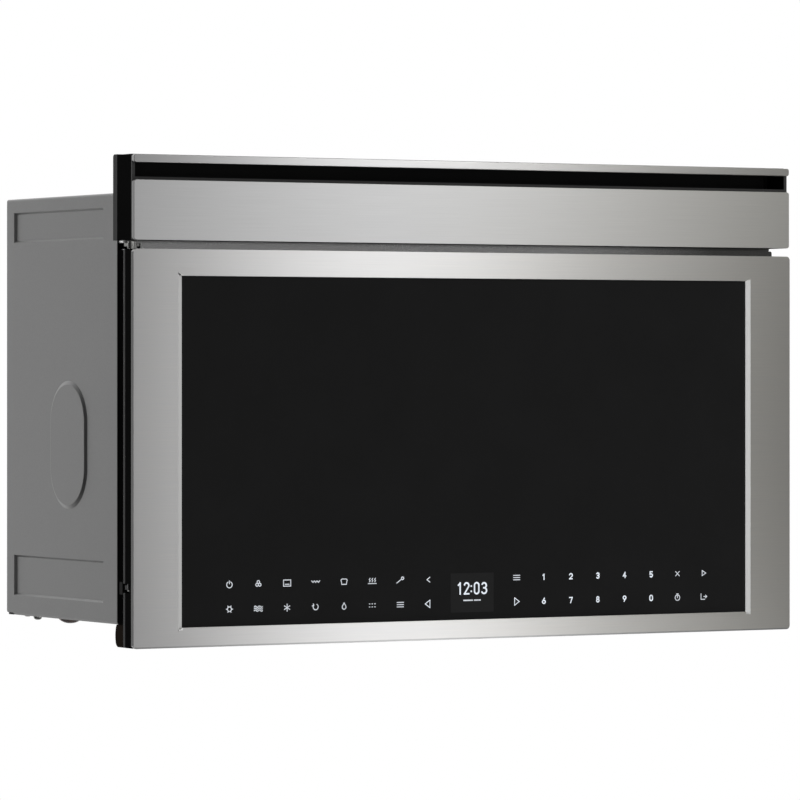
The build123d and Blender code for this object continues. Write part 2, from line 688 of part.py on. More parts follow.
cooling_fan_frame.part.label = "cooling_fan_frame"
export_step(cooling_fan_frame.part, "parts/cooling_fan_frame.step")


with BuildPart() as cooling_fan:
    rod((fan_x, baffle_y - 22.0, fan_z), (0, 1, 0), 13.0, 18.0)
    rod((fan_x, baffle_y - 10.0, fan_z), (0, 1, 0), pin_radius, 26.0)
    for index in range(5):
        turn = radians(index * 72.0)
        outward = Vector(cos(turn), 0, sin(turn))
        sideways = Vector(-sin(turn), 0, cos(turn))
        for radius, chord, pitch in ((11.0, 18.0, 48.0), (54.0, 34.0, 24.0)):
            place = Vector(fan_x, baffle_y - 13.0, fan_z) + outward * radius
            blade_dir = sideways * cos(radians(pitch)) + Vector(0, 1, 0) * sin(radians(pitch))
            with BuildSketch(Plane(origin=place, x_dir=blade_dir, z_dir=outward)):
                Rectangle(chord * 0.92, 1.4)
        loft(ruled=True)

cooling_fan.part.label = "cooling_fan"
export_step(cooling_fan.part, "parts/cooling_fan.step")

# Vent blower: two spiral housings either side of a double-ended motor
blower_y, blower_z = -80.0, 156.5
wheel_radius, wheel_length = 34.0, 78.0
scroll_start, scroll_end = 38.0, 47.0
scroll_sheet = 1.2
scroll_length = 84.0
scroll_xs = (-193.0, 49.0)
inlet_radius = 27.0


def scroll_outline(extra):
    """Closed spiral in the YZ plane that opens towards the front, with its outlet at the top."""
    def spiral(turn_degrees):
        share = (turn_degrees - 180.0) / 270.0
        radius = scroll_start + (scroll_end - scroll_start) * share + extra
        turn = radians(turn_degrees)
        return (blower_y + radius * cos(turn), blower_z + radius * sin(turn))

    outlet_y = -128.0
    start = spiral(180.0)
    end = spiral(450.0)
    with BuildLine() as outline:
        Spline(*[spiral(180.0 + 45.0 * step) for step in range(7)])
        Line(end, (outlet_y, end[1]))
        Line((outlet_y, end[1]), (outlet_y, duct_z[0] + 1 - extra))
        Line((outlet_y, duct_z[0] + 1 - extra), start)
    make_face(outline.edges())


with BuildPart() as blower_housing:
    for x in scroll_xs:
        with BuildSketch(Plane.YZ.offset(x)):
            scroll_outline(scroll_sheet)
        extrude(amount=scroll_length)
        with BuildSketch(Plane.YZ.offset(x + scroll_sheet)):
            scroll_outline(0.0)
        extrude(amount=scroll_length - 2 * scroll_sheet, mode=Mode.SUBTRACT)
        rod((x - 1, blower_y, blower_z), (1, 0, 0), inlet_radius, scroll_length + 2, Mode.SUBTRACT)
        mouth_x = (x + scroll_sheet, x + scroll_length - scroll_sheet)
        block(mouth_x, (-130.0, -126.0), (duct_z[0] + 1, blower_z + scroll_end), Mode.SUBTRACT)
    # Mounting plate under the casing's top, and the motor's saddle between the scrolls
    plate_z = (blower_z + scroll_end + 0.6, inner_top)
    block((scroll_xs[0], scroll_xs[1] + scroll_length), (-112.0, -50.0), plate_z)
    block((-55.0, -49.0), (-110.0, -50.0), (blower_z, inner_top))
    block((-11.0, -5.0), (-110.0, -50.0), (blower_z, inner_top))
    rod((-60.0, blower_y, blower_z), (1, 0, 0), 30.0, 60.0, Mode.SUBTRACT)
    # Outlet duct to the front panel
    with BuildSketch(upright(-128.0)):
        window(duct_x, duct_z)
        window((duct_x[0] + 1, duct_x[1] - 1), (duct_z[0] + 1, duct_z[1] - 1), mode=Mode.SUBTRACT)
    extrude(amount=abs(panel_front + frame_sheet + 128.0))

blower_housing.part.label = "blower_housing"
export_step(blower_housing.part, "parts/blower_housing.step")

with BuildPart() as blower_motor:
    rod((-66.0, blower_y, blower_z), (1, 0, 0), 30.0, 72.0)
    rod((-76.0, blower_y, blower_z), (1, 0, 0), 12.0, 92.0)
    rod((-80.0, blower_y, blower_z), (1, 0, 0), pin_radius + running_clearance, 100.0, Mode.SUBTRACT)

blower_motor.part.label = "blower_motor"
export_step(blower_motor.part, "parts/blower_motor.step")

# Blower wheels: forward-curved blades between a disc and a ring, on one shaft
blade_count = 22
with BuildPart() as blower_wheels:
    rod((-190.0, blower_y, blower_z), (1, 0, 0), pin_radius, 320.0)
    for x in scroll_xs:
        wheel_start = x + 3.0
        middle = wheel_start + wheel_length / 2
        rod((middle - 7.0, blower_y, blower_z), (1, 0, 0), 9.0, 14.0)
        rod((middle - 1.0, blower_y, blower_z), (1, 0, 0), wheel_radius, 2.0)
        for ring_x in (wheel_start, wheel_start + wheel_length - 2.0):
            with BuildSketch(Plane.YZ.offset(ring_x)):
                with Locations((blower_y, blower_z)):
                    Circle(wheel_radius)
                    Circle(wheel_radius - 6.0, mode=Mode.SUBTRACT)
            extrude(amount=2.0)
        with BuildSketch(Plane.YZ.offset(wheel_start)):
            with Locations((blower_y, blower_z)):
                with PolarLocations(wheel_radius - 3.2, blade_count):
                    with Locations(Location((0, 0, 0), (0, 0, 62.0))):
                        Rectangle(0.9, 6.4)
        extrude(amount=wheel_length)

blower_wheels.part.label = "blower_wheels"
export_step(blower_wheels.part, "parts/blower_wheels.step")

# Exhaust cover: blanking plate over the top outlet, held where a duct adaptor screws on
with BuildPart() as exhaust_cover:
    with BuildSketch(Plane.XY.offset(body_top)):
        with Locations((exhaust_x, exhaust_y)):
            RectangleRounded(310.0, 120.0, 4.0)
            with GridLocations(exhaust_screws_x, exhaust_screws_y, 2, 2):
                Circle(2.2, mode=Mode.SUBTRACT)
    extrude(amount=1.2)
    with BuildSketch(Plane.XY.offset(body_top + 1.2)):
        with Locations((exhaust_x, exhaust_y)):
            RectangleRounded(262.0, 90.0, 6.0)
            RectangleRounded(254.0, 82.0, 3.0, mode=Mode.SUBTRACT)
    extrude(amount=1.0)

exhaust_cover.part.label = "exhaust_cover"
export_step(exhaust_cover.part, "parts/exhaust_cover.step")

# Mains entry gland through the top, without its cord
with BuildPart() as cord_gland:
    rod((gland_x, gland_y, body_top), (0, 0, 1), 15.0, 3.0)
    chamfer(cord_gland.edges().group_by(Axis.Z)[-1], length=0.8)
    rod((gland_x, gland_y, body_top), (0, 0, -1), gland_radius - 0.1, 8.0)
    rod((gland_x, gland_y, body_top - 9.0), (0, 0, 1), 4.5, 14.0, Mode.SUBTRACT)

cord_gland.part.label = "cord_gland"
export_step(cord_gland.part, "parts/cord_gland.step")

# Convection unit on the liner's left wall: housing, ring heater, motor and fan
housing_x = (-331.0, cavity_left - liner)
housing_half = 92.0
heater_radius = 77.0
heater_x = -311.0
heater_tube = 3.2
terminal_offset = 12.0
terminal_height = (heater_radius ** 2 - terminal_offset ** 2) ** 0.5
with BuildPart() as convection_housing:
    with BuildSketch(side_plane(1, housing_x[1])):
        with Locations((convection_y, convection_z)):
            RectangleRounded(2 * housing_half, 2 * housing_half, 20.0)
    extrude(amount=housing_x[0] - housing_x[1])
    offset(amount=-liner, openings=convection_housing.faces().sort_by(Axis.X)[-1])
    rod((housing_x[0] - 1, convection_y, convection_z), (1, 0, 0), 5.0, 4.0, Mode.SUBTRACT)
    with BuildSketch(side_plane(1, housing_x[0])):
        with Locations((convection_y, convection_z + terminal_height)):
            with GridLocations(2 * terminal_offset, 1, 2, 1):
                Circle(heater_tube + 0.4)
    extrude(amount=liner, mode=Mode.SUBTRACT)

convection_housing.part.label = "convection_housing"
export_step(convection_housing.part, "parts/convection_housing.step")

with BuildPart() as convection_heater:
    ring_plane = Plane(origin=(heater_x, convection_y, convection_z), x_dir=(0, 1, 0), z_dir=(1, 0, 0))
    ring_ends = [(-terminal_offset, terminal_height), (terminal_offset, terminal_height)]
    with BuildLine(ring_plane) as ring:
        ThreePointArc(ring_ends[0], (0, -heater_radius), ring_ends[1])
    with BuildSketch(Plane(origin=ring.line @ 0, z_dir=ring.line % 0)):
        Circle(heater_tube)
    sweep()
    # Terminals through the housing, each with a flange against its wall
    for y in (convection_y - terminal_offset, convection_y + terminal_offset):
        place = (heater_x + heater_tube, y, convection_z + terminal_height)
        rod(place, (-1, 0, 0), heater_tube, heater_x + heater_tube - housing_x[0] + 9.0)
        rod((housing_x[0] + liner, y, convection_z + terminal_height), (1, 0, 0), 6.0, 2.0)

convection_heater.part.label = "convection_heater"
export_step(convection_heater.part, "parts/convection_heater.step")

with BuildPart() as convection_motor:
    rod((housing_x[0], convection_y, convection_z), (-1, 0, 0), 26.0, 36.0)
    chamfer(convection_motor.edges().group_by(Axis.X)[0], length=3.0)
    motor_bore = pin_radius + running_clearance
    rod((housing_x[0], convection_y, convection_z), (-1, 0, 0), motor_bore, 20.0, Mode.SUBTRACT)

convection_motor.part.label = "convection_motor"
export_step(convection_motor.part, "parts/convection_motor.step")

with BuildPart() as convection_fan:
    rod((-347.0, convection_y, convection_z), (1, 0, 0), pin_radius, 47.0)
    rod((-322.0, convection_y, convection_z), (1, 0, 0), 62.0, 1.5)
    rod((-322.0, convection_y, convection_z), (1, 0, 0), 10.0, 14.0)
    for index in range(10):
        turn = radians(index * 36.0)
        outward = Vector(0, cos(turn), sin(turn))
        place = Vector(-321.0, convection_y, convection_z) + outward * 42.0
        lean = Vector(0, cos(turn + 0.35), sin(turn + 0.35))
        with BuildSketch(Plane(origin=place, x_dir=lean, z_dir=(1, 0, 0))):
            Rectangle(36.0, 1.4)
        extrude(amount=17.0)

convection_fan.part.label = "convection_fan"
export_step(convection_fan.part, "parts/convection_fan.step")

# Broil element: one bent tube under the ceiling, flanged at the back wall
broil_z = cavity_ceiling - 11.0
broil_tube = 3.2
broil_back = cavity_back - 2.0
with BuildPart() as broil_element:
    with BuildLine() as route:
        corners = [(-210, broil_back), (-210, -238), (-95, -238), (-95, -70)]
        corners += [(35, -70), (35, -238), (150, -238), (150, broil_back)]
        FilletPolyline(*[(x, y, broil_z) for x, y in corners], radius=22.0)
    with BuildSketch(Plane(origin=route.line @ 0, z_dir=route.line % 0)):
        Circle(broil_tube)
    sweep()
    for x in (-210, 150):
        rod((x, broil_back, broil_z), (0, 1, 0), 7.0, 2.0)

broil_element.part.label = "broil_element"
export_step(broil_element.part, "parts/broil_element.step")

# Cavity lamp with its window, and the probe socket, in the liner's right wall
with BuildPart() as cavity_lamp:
    rod((cavity_right - 1.0, lamp_y, lamp_z), (1, 0, 0), 12.8, 2.0)
    rod((cavity_right + liner, lamp_y, lamp_z), (1, 0, 0), 17.0, 26.0)
    fillet(cavity_lamp.edges().group_by(Axis.X)[-1], radius=4.0)
    block((245.0, 256.0), (lamp_y - 6, lamp_y + 6), (lamp_z - 26, lamp_z - 14))

cavity_lamp.part.label = "cavity_lamp"
export_step(cavity_lamp.part, "parts/cavity_lamp.step")

with BuildPart() as probe_jack:
    rod((cavity_right - 3.0, probe_y, probe_z), (1, 0, 0), 8.5, 3.0)
    rod((cavity_right, probe_y, probe_z), (1, 0, 0), 5.4, 16.0)
    rod((cavity_right - 4.0, probe_y, probe_z), (1, 0, 0), 2.6, 14.0, Mode.SUBTRACT)

probe_jack.part.label = "probe_jack"
export_step(probe_jack.part, "parts/probe_jack.step")

# Power board on posts from the casing's right side, with its relays and transformer
board_x = 361.0
with BuildPart() as power_board:
    block((board_x, board_x + 1.6), (-232.0, -150.0), (-140.0, -45.0))
    for y, z in ((-226.0, -134.0), (-226.0, -51.0), (-156.0, -134.0), (-156.0, -51.0)):
        rod((board_x + 1.6, y, z), (1, 0, 0), 3.0, inner_x - board_x - 1.6)
    for y, z, size_y, size_z, tall in (
        (-215.0, -120.0, 20.0, 26.0, 14.0),
        (-215.0, -88.0, 18.0, 18.0, 14.0),
        (-215.0, -64.0, 18.0, 18.0, 14.0),
        (-180.0, -115.0, 32.0, 34.0, 26.0),
        (-178.0, -72.0, 14.0, 14.0, 16.0),
    ):
        block((board_x - tall, board_x), (y - size_y / 2, y + size_y / 2), (z - size_z / 2, z + size_z / 2))

power_board.part.label = "power_board"
export_step(power_board.part, "parts/power_board.step")

# Door latch housing behind the front frame, with a pocket for each hook
latch_x = (334.0, 360.0)
latch_back = -228.0
pocket_back = -246.0
lever_y, lever_z = -236.0, 46.0
lever_turn = 16.0
with BuildPart() as latch_body:
    block(latch_x, (frame_back, latch_back), (-36.0, 84.0))
    block(latch_x, (frame_back, -240.0), (-128.0, -36.0))
    pocket_x = (hook_x[0] - 2, hook_x[1] + 2)
    for z in hook_zs:
        floor = z - 0.4
        roof = z + shank_height + hook_lift + 1
        block(pocket_x, (frame_back, pocket_back), (floor, roof), Mode.SUBTRACT)
        block(pocket_x, (-257.6, pocket_back), (z - barb_height - 6, floor), Mode.SUBTRACT)
    # Room for the release lever, which swings behind the upper pocket, and for its rod
    block(pocket_x, (-257.6, latch_back), (36.0, 58.0), Mode.SUBTRACT)
    block(pocket_x, (-240.0, latch_back), (58.0, 84.0), Mode.SUBTRACT)
    rod((latch_x[0] - 1, lever_y, lever_z), (1, 0, 0), 2.0 + running_clearance, 30.0, Mode.SUBTRACT)
    pusher_bore = pusher_radius + running_clearance
    rod((pusher_x, frame_back - 1, pusher_z), (0, 1, 0), pusher_bore, 30.0, Mode.SUBTRACT)

latch_body.part.label = "latch_body"
export_step(latch_body.part, "parts/latch_body.step")

# Three interlock switches on the latch housing's back
with BuildPart() as interlock_switches:
    for z in (-118.0, -92.0, -66.0):
        block((336.0, 346.0), (-240.0, -224.0), (z - 10, z + 10))
        block((338.0, 344.0), (-224.0, -218.0), (z + 5, z + 6))
        block((338.0, 344.0), (-224.0, -218.0), (z - 6, z - 5))

interlock_switches.part.label = "interlock_switches"
export_step(interlock_switches.part, "parts/interlock_switches.step")

# Release lever: its tip holds the upper hook's barb up while the magnet holds its tail down
lever_x = (hook_x[0] + 0.5, hook_x[1] - 0.5)
with BuildPart() as release_lever:
    with BuildSketch(Plane.YZ.offset(lever_x[0])):
        with Locations(Location((lever_y, lever_z, 0), (0, 0, -lever_turn))):
            Circle(4.0)
            Polygon((0, -3.5), (0, 2.0), (-13.0, 2.2), (-13.5, 3.7), (-18.0, 3.7), (-18.6, 0.5), align=None)
            Polygon((0, -3.0), (0, 3.5), (13.0, 2.0), (13.0, -1.5), align=None)
    extrude(amount=lever_x[1] - lever_x[0])
    rod((latch_x[0] + 2.0, lever_y, lever_z), (1, 0, 0), 2.0, latch_x[1] - latch_x[0] - 4.0)

release_lever.part.label = "release_lever"
export_step(release_lever.part, "parts/release_lever.step")

# Release magnet on the latch housing, with its pole under the lever's tail
with BuildPart() as release_magnet:
    block((336.0, 358.0), (latch_back, -204.0), (8.0, 11.0))
    block((336.0, 358.0), (latch_back, latch_back + 3.0), (8.0, 36.0))
    rod((pusher_x, -216.0, 11.0), (0, 0, 1), 10.0, 20.0)
    rod((pusher_x, -221.0, 31.0), (0, 0, 1), 4.0, 8.6)

release_magnet.part.label = "release_magnet"
export_step(release_magnet.part, "parts/release_magnet.step")

# Sprung pusher that starts the door on its way
with BuildPart() as door_pusher:
    rod((pusher_x, front_y + door_depth + 0.2, pusher_z), (0, 1, 0), pusher_radius, 30.0)
    fillet(door_pusher.edges().group_by(Axis.Y)[0], radius=1.5)

door_pusher.part.label = "door_pusher"
export_step(door_pusher.part, "parts/door_pusher.step")

# Turntable drive: motor under the floor and the three-lobed coupler on its shaft
tray_bottom = cavity_floor + 13.5
with BuildPart() as turntable_motor:
    rod((cavity_x, tray_y, cavity_floor - liner), (0, 0, -1), 25.0, 16.0)
    ear_z = (cavity_floor - liner - 1.5, cavity_floor - liner)
    block((cavity_x - 35, cavity_x + 35), (tray_y - 6, tray_y + 6), ear_z)
    rod((cavity_x, tray_y, cavity_floor), (0, 0, -1), pin_radius + running_clearance, 12.0, Mode.SUBTRACT)

turntable_motor.part.label = "turntable_motor"
export_step(turntable_motor.part, "parts/turntable_motor.step")

with BuildPart() as turntable_coupler:
    rod((cavity_x, tray_y, cavity_floor - 9.0), (0, 0, 1), pin_radius, 14.0)
    with BuildSketch(Plane.XY.offset(cavity_floor + 4.0)):
        with Locations((cavity_x, tray_y)):
            Circle(9.0)
            with PolarLocations(10.0, 3):
                SlotOverall(18.0, 8.0)
    extrude(amount=tray_bottom - cavity_floor - 4.0)

turntable_coupler.part.label = "turntable_coupler"
export_step(turntable_coupler.part, "parts/turntable_coupler.step")

# Roller ring: three rollers on radial axles carry the tray
ring_outer, ring_inner = 74.0, 68.0
roller_radius, roller_width = 6.5, 7.0
roller_z = cavity_floor + roller_radius + 0.15
roller_start = ring_outer + 1.0
with BuildPart() as roller_ring:
    with BuildSketch(Plane.XY.offset(roller_z - 2.5)):
        with Locations((cavity_x, tray_y)):
            Circle(ring_outer)
            Circle(ring_inner, mode=Mode.SUBTRACT)
    extrude(amount=5.0)
    for index in range(3):
        turn = radians(90.0 + index * 120.0)
        outward = Vector(cos(turn), sin(turn), 0)
        hub = Vector(cavity_x, tray_y, roller_z)
        rod(hub + outward * (ring_outer - 2.0), outward, 2.0, 13.0)
        rod(hub + outward * (roller_start + roller_width + 0.5), outward, 3.0, 1.5)

roller_ring.part.label = "roller_ring"
export_step(roller_ring.part, "parts/roller_ring.step")

for index in range(3):
    turn = radians(90.0 + index * 120.0)
    outward = Vector(cos(turn), sin(turn), 0)
    with BuildPart() as roller:
        rim = Vector(cavity_x, tray_y, roller_z) + outward * roller_start
        with BuildSketch(Plane(origin=rim, z_dir=outward)):
            Circle(roller_radius)
            Circle(2.0 + running_clearance, mode=Mode.SUBTRACT)
        extrude(amount=roller_width)
    roller.part.label = "roller_" + str(index + 1)
    export_step(roller.part, "parts/" + roller.part.label + ".step")

# Glass turntable tray with a raised rim
tray_radius = 115.0
with BuildPart() as glass_tray:
    with BuildSketch(Plane.XZ.offset(-tray_y)):
        # Radius and height of each corner of the section, from the middle out and back
        section = [(0, 0), (92.0, 0), (108.0, 7.0), (tray_radius, 8.5)]
        section += [(tray_radius, 12.0), (106.0, 11.0), (90.0, 4.5), (0, 4.5)]
        Polygon(*[(cavity_x + radius, tray_bottom + height) for radius, height in section], align=None)
    revolve(axis=Axis((cavity_x, tray_y, 0), (0, 0, 1)))

glass_tray.part.label = "glass_tray"
export_step(glass_tray.part, "parts/glass_tray.step")

# Door skin: brushed-steel pan with a bevelled window
skin = 0.9
return_depth = 3.0
return_width = 9.0


def bevel_section(side, z):
    """Cross-section of one side bevel of the window, at a height."""
    inner = side * glass_half_width
    outer = side * (glass_half_width + bevel_width)
    with BuildSketch(Plane.XY.offset(z)) as section:
        corners = [(inner, front_y - 1), (outer, front_y - 1), (outer, front_y)]
        Polygon(*corners, (inner, front_y + bevel_depth), align=None)
    return section.sketch


with BuildPart() as door_skin:
    with BuildSketch(upright(front_y)):
        window((-half_front, half_front), (door_bottom, door_top), 4.0)
    extrude(amount=-flange_depth)
    fillet(door_skin.faces().sort_by(Axis.Y)[0].edges(), radius=0.35)
    with BuildSketch(upright(front_y + flange_depth)):
        window((-half_front + skin, half_front - skin), (door_bottom + skin, door_top - skin), 3.0)
    extrude(amount=flange_depth - skin, mode=Mode.SUBTRACT)
    with BuildSketch(upright(front_y + 0.4)):
        return_x = glass_half_width + return_width
        window((-return_x, return_x), (glass_bottom - return_width, glass_top + return_width), 2.0)
    extrude(amount=-(return_depth - 0.4))
    with BuildSketch(upright(front_y)):
        window((-glass_half_width, glass_half_width), (glass_bottom, glass_top))
    extrude(amount=-return_depth, mode=Mode.SUBTRACT)
    # Side bevels of the window, their ends mitred out to the outer edge
    for side in (-1, 1):
        outer = side * (glass_half_width + bevel_width)
        extrude(bevel_section(side, glass_bottom), amount=glass_top - glass_bottom, mode=Mode.SUBTRACT)
        for z, end in ((glass_bottom, -bevel_mitre), (glass_top, bevel_mitre)):
            loft([bevel_section(side, z), Vertex(outer, front_y, z + end)], mode=Mode.SUBTRACT)

door_skin.part.label = "door_skin"
export_step(door_skin.part, "parts/door_skin.step")

# Black glass behind the window
glass_front = front_y + return_depth
glass_back = glass_front + 4.0
with BuildPart() as door_glass:
    with BuildSketch(upright(glass_front)):
        window((-glass_half_width - 8, glass_half_width + 8), (glass_bottom - 8, glass_top + 8), 3.0)
    extrude(amount=-4.0)

door_glass.part.label = "door_glass"
export_step(door_glass.part, "parts/door_glass.step")

# Door frame: black channel-section moulding with the hinge bosses
frame_edge = half_front - 0.3
frame_start = front_y + flange_depth
frame_end = front_y + door_frame_end
opening_x = glass_half_width + 8.5
opening_z = (glass_bottom - 8.5, glass_top + 8.5)
bush_outer = 4.2
notch_roof = lower_arm_top + 2.0
notch_floor = lower_arm_bottom - 3.0
lower_bush_top = notch_roof + pin_grip
with BuildPart() as door_frame:
    with BuildSketch(upright(frame_start)):
        window((-frame_edge, frame_edge), (door_bottom + 0.3, door_top - 0.3), 1.2)
    extrude(amount=-(frame_end - frame_start))
    with BuildSketch(upright(frame_end)):
        window((-frame_edge + 3, frame_edge - 3), (door_bottom + 3.3, door_top - 3.3), 2.0)
        window((-opening_x - 2, opening_x + 2), (opening_z[0] - 2, opening_z[1] + 2), mode=Mode.SUBTRACT)
    extrude(amount=frame_end - frame_start - 2.0, mode=Mode.SUBTRACT)
    with BuildSketch(upright(frame_end)):
        window((-opening_x, opening_x), opening_z)
    extrude(amount=frame_end - frame_start, mode=Mode.SUBTRACT)
    # Guide ribs either side of the latch strip
    for z in (-40.0, 20.0):
        for xs in ((hook_x[0] - 2.1, hook_x[0] - 0.1), (hook_x[1] + 0.1, hook_x[1] + 2.1)):
            block(xs, (frame_start + 1.5, frame_end - 0.5), (z - 10.0, z + 10.0))
    # Bosses for the two hinge bushes
    block((-frame_edge, pin_x + 8), (frame_start + 2, frame_end), (door_top - 17.0, door_top - 0.3))
    block((-frame_edge, pin_x + 8), (frame_start + 2, frame_end), (notch_floor - 4, lower_bush_top + 2))
    notch_y = (pin_y - 5.2, frame_end)
    block((-frame_edge - 1, pin_x + 8.5), notch_y, (notch_floor, notch_roof), Mode.SUBTRACT)
    for start, direction in ((door_top, -1), (notch_roof, 1)):
        rod((pin_x, pin_y, start), (0, 0, direction), bush_outer + 0.02, pin_grip + 0.7, Mode.SUBTRACT)

door_frame.part.label = "door_frame"
export_step(door_frame.part, "parts/door_frame.step")

# Plain bushes pressed into the door frame for the hinge pins
with BuildPart() as hinge_bushes:
    for start, direction in ((door_top - 0.3, -1), (notch_roof, 1)):
        rod((pin_x, pin_y, start), (0, 0, direction), bush_outer, pin_grip + 0.4)
        bore = pin_radius + running_clearance
        rod((pin_x, pin_y, start - direction), (0, 0, direction), bore, pin_grip + 3.0, Mode.SUBTRACT)

hinge_bushes.part.label = "hinge_bushes"
export_step(hinge_bushes.part, "parts/hinge_bushes.step")

# Door inner panel: steel pan with the choke channel pressed round the window
panel_back = front_y + door_depth
choke_gap = 5.0
choke_width = 16.0
choke_depth = 7.0
choke_out_x = (cavity_left - choke_gap - choke_width, cavity_right + choke_gap + choke_width)
choke_out_z = (cavity_floor - choke_gap - choke_width, cavity_ceiling + choke_gap + choke_width)
choke_in_x = (cavity_left - choke_gap, cavity_right + choke_gap)
choke_in_z = (cavity_floor - choke_gap, cavity_ceiling + choke_gap)
with BuildPart() as door_inner_panel:
    with BuildSketch(upright(frame_end)):
        window((-frame_edge, frame_edge), (door_bottom + 0.3, door_top - 0.3), 1.2)
    extrude(amount=-(panel_back - frame_end))
    with BuildSketch(upright(frame_end)):
        window((-frame_edge + 1, frame_edge - 1), (door_bottom + 1.3, door_top - 1.3), 0.6)
    extrude(amount=-(panel_back - frame_end - sheet), mode=Mode.SUBTRACT)
    with BuildSketch(upright(panel_back - sheet)):
        window((choke_out_x[0] - 1, choke_out_x[1] + 1), (choke_out_z[0] - 1, choke_out_z[1] + 1), 7.0)
        pressed_z = (choke_in_z[0] + 1, choke_in_z[1] - 1)
        window((choke_in_x[0] + 1, choke_in_x[1] - 1), pressed_z, 5.0, mode=Mode.SUBTRACT)
    extrude(amount=choke_depth)
    with BuildSketch(upright(panel_back)):
        window(choke_out_x, choke_out_z, 6.0)
        window(choke_in_x, choke_in_z, 6.0, mode=Mode.SUBTRACT)
    extrude(amount=choke_depth, mode=Mode.SUBTRACT)
    # Slots for the latch hooks, and the lower hinge's notch
    for z in hook_zs:
        slot_z = (z - barb_height - 1, z + shank_height + hook_lift + 1)
        block((hook_x[0] - 1, hook_x[1] + 1), (frame_end, panel_back), slot_z, Mode.SUBTRACT)
    block((-half_front, pin_x + 8.5), (frame_end, panel_back), (notch_floor, notch_roof), Mode.SUBTRACT)

door_inner_panel.part.label = "door_inner_panel"
export_step(door_inner_panel.part, "parts/door_inner_panel.step")

# Choke cover: plastic ring flush with the panel, over the channel
with BuildPart() as choke_cover:
    with BuildSketch(upright(panel_back)):
        window(choke_out_x, choke_out_z, 6.0)
        window(choke_in_x, choke_in_z, 6.0, mode=Mode.SUBTRACT)
    extrude(amount=1.6)

choke_cover.part.label = "choke_cover"
export_step(choke_cover.part, "parts/choke_cover.step")

# Window glass against the panel's screen, inside the choke channel
with BuildPart() as window_glass:
    with BuildSketch(upright(panel_back - sheet)):
        window((choke_in_x[0] + 3, choke_in_x[1] - 3), (choke_in_z[0] + 3, choke_in_z[1] - 3), 4.0)
    extrude(amount=3.0)

window_glass.part.label = "window_glass"
export_step(window_glass.part, "parts/window_glass.step")

# Touch board behind the lower edge of the glass, with the display in its middle
display_x, display_z = -1.0, -185.6
display_width, display_height = 47.5, 37.8
with BuildPart() as touch_board:
    with BuildSketch(upright(glass_back)):
        window((-308.0, 308.0), (-209.0, -162.0), 3.0)
    extrude(amount=-1.6)
    with BuildSketch(upright(glass_back + 1.6)):
        with Locations((display_x, display_z)):
            RectangleRounded(display_width + 14.5, display_height + 6.0, 1.0)
    extrude(amount=-4.4)
    with BuildSketch(upright(glass_back + 1.6)):
        with GridLocations(84.0, 1, 7, 1):
            with Locations((42.0, -178.0)):
                Rectangle(14.0, 8.0)
    extrude(amount=-2.4)

touch_board.part.label = "touch_board"
export_step(touch_board.part, "parts/touch_board.step")

# Latch hooks: one sliding strip in the door with a barbed hook at each end, shown lifted
strip_y = (frame_start + 2.5, frame_end - 0.5)
with BuildPart() as latch_hooks:
    block(hook_x, strip_y, (hook_zs[1] - 7.0, hook_zs[0] + shank_height + 10.0))
    for hook_z in hook_zs:
        z = hook_z + hook_lift
        nose = -249.5
        with BuildSketch(Plane.YZ.offset(hook_x[0])):
            Polygon(
                (strip_y[1] - 1, z), (-255.2, z), (-255.2, z - barb_height), (-252.5, z - barb_height),
                (nose, z + 2.0), (nose, z + shank_height), (strip_y[1] - 1, z + shank_height), align=None,
            )
        extrude(amount=hook_x[1] - hook_x[0])

latch_hooks.part.label = "latch_hooks"
export_step(latch_hooks.part, "parts/latch_hooks.step")
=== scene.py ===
import math

import bmesh
import bpy
from mathutils import Matrix, Vector


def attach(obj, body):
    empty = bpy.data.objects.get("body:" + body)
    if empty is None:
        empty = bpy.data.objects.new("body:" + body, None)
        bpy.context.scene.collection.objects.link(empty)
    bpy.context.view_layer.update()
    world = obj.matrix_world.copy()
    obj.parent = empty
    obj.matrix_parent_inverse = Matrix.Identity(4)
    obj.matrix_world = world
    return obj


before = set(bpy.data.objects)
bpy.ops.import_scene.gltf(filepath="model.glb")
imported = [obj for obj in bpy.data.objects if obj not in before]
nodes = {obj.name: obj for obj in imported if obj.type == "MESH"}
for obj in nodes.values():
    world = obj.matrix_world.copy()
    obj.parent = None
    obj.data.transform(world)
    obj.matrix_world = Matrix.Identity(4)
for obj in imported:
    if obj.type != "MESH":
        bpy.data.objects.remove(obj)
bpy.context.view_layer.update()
scene = bpy.context.scene
MM = 0.001


# Materials. Colours are linear values. Places are object coordinates in metres, which at rest
# are those of the shared frame. Scales of noise and cells are waves per metre.

SOFT_EDGE = 0.0004


def gray(level):
    return (level, level, level, 1.0)


def scaled(color, factor):
    """The same colour, lighter or darker."""
    return tuple(c * factor for c in color[:3]) + (1.0,)


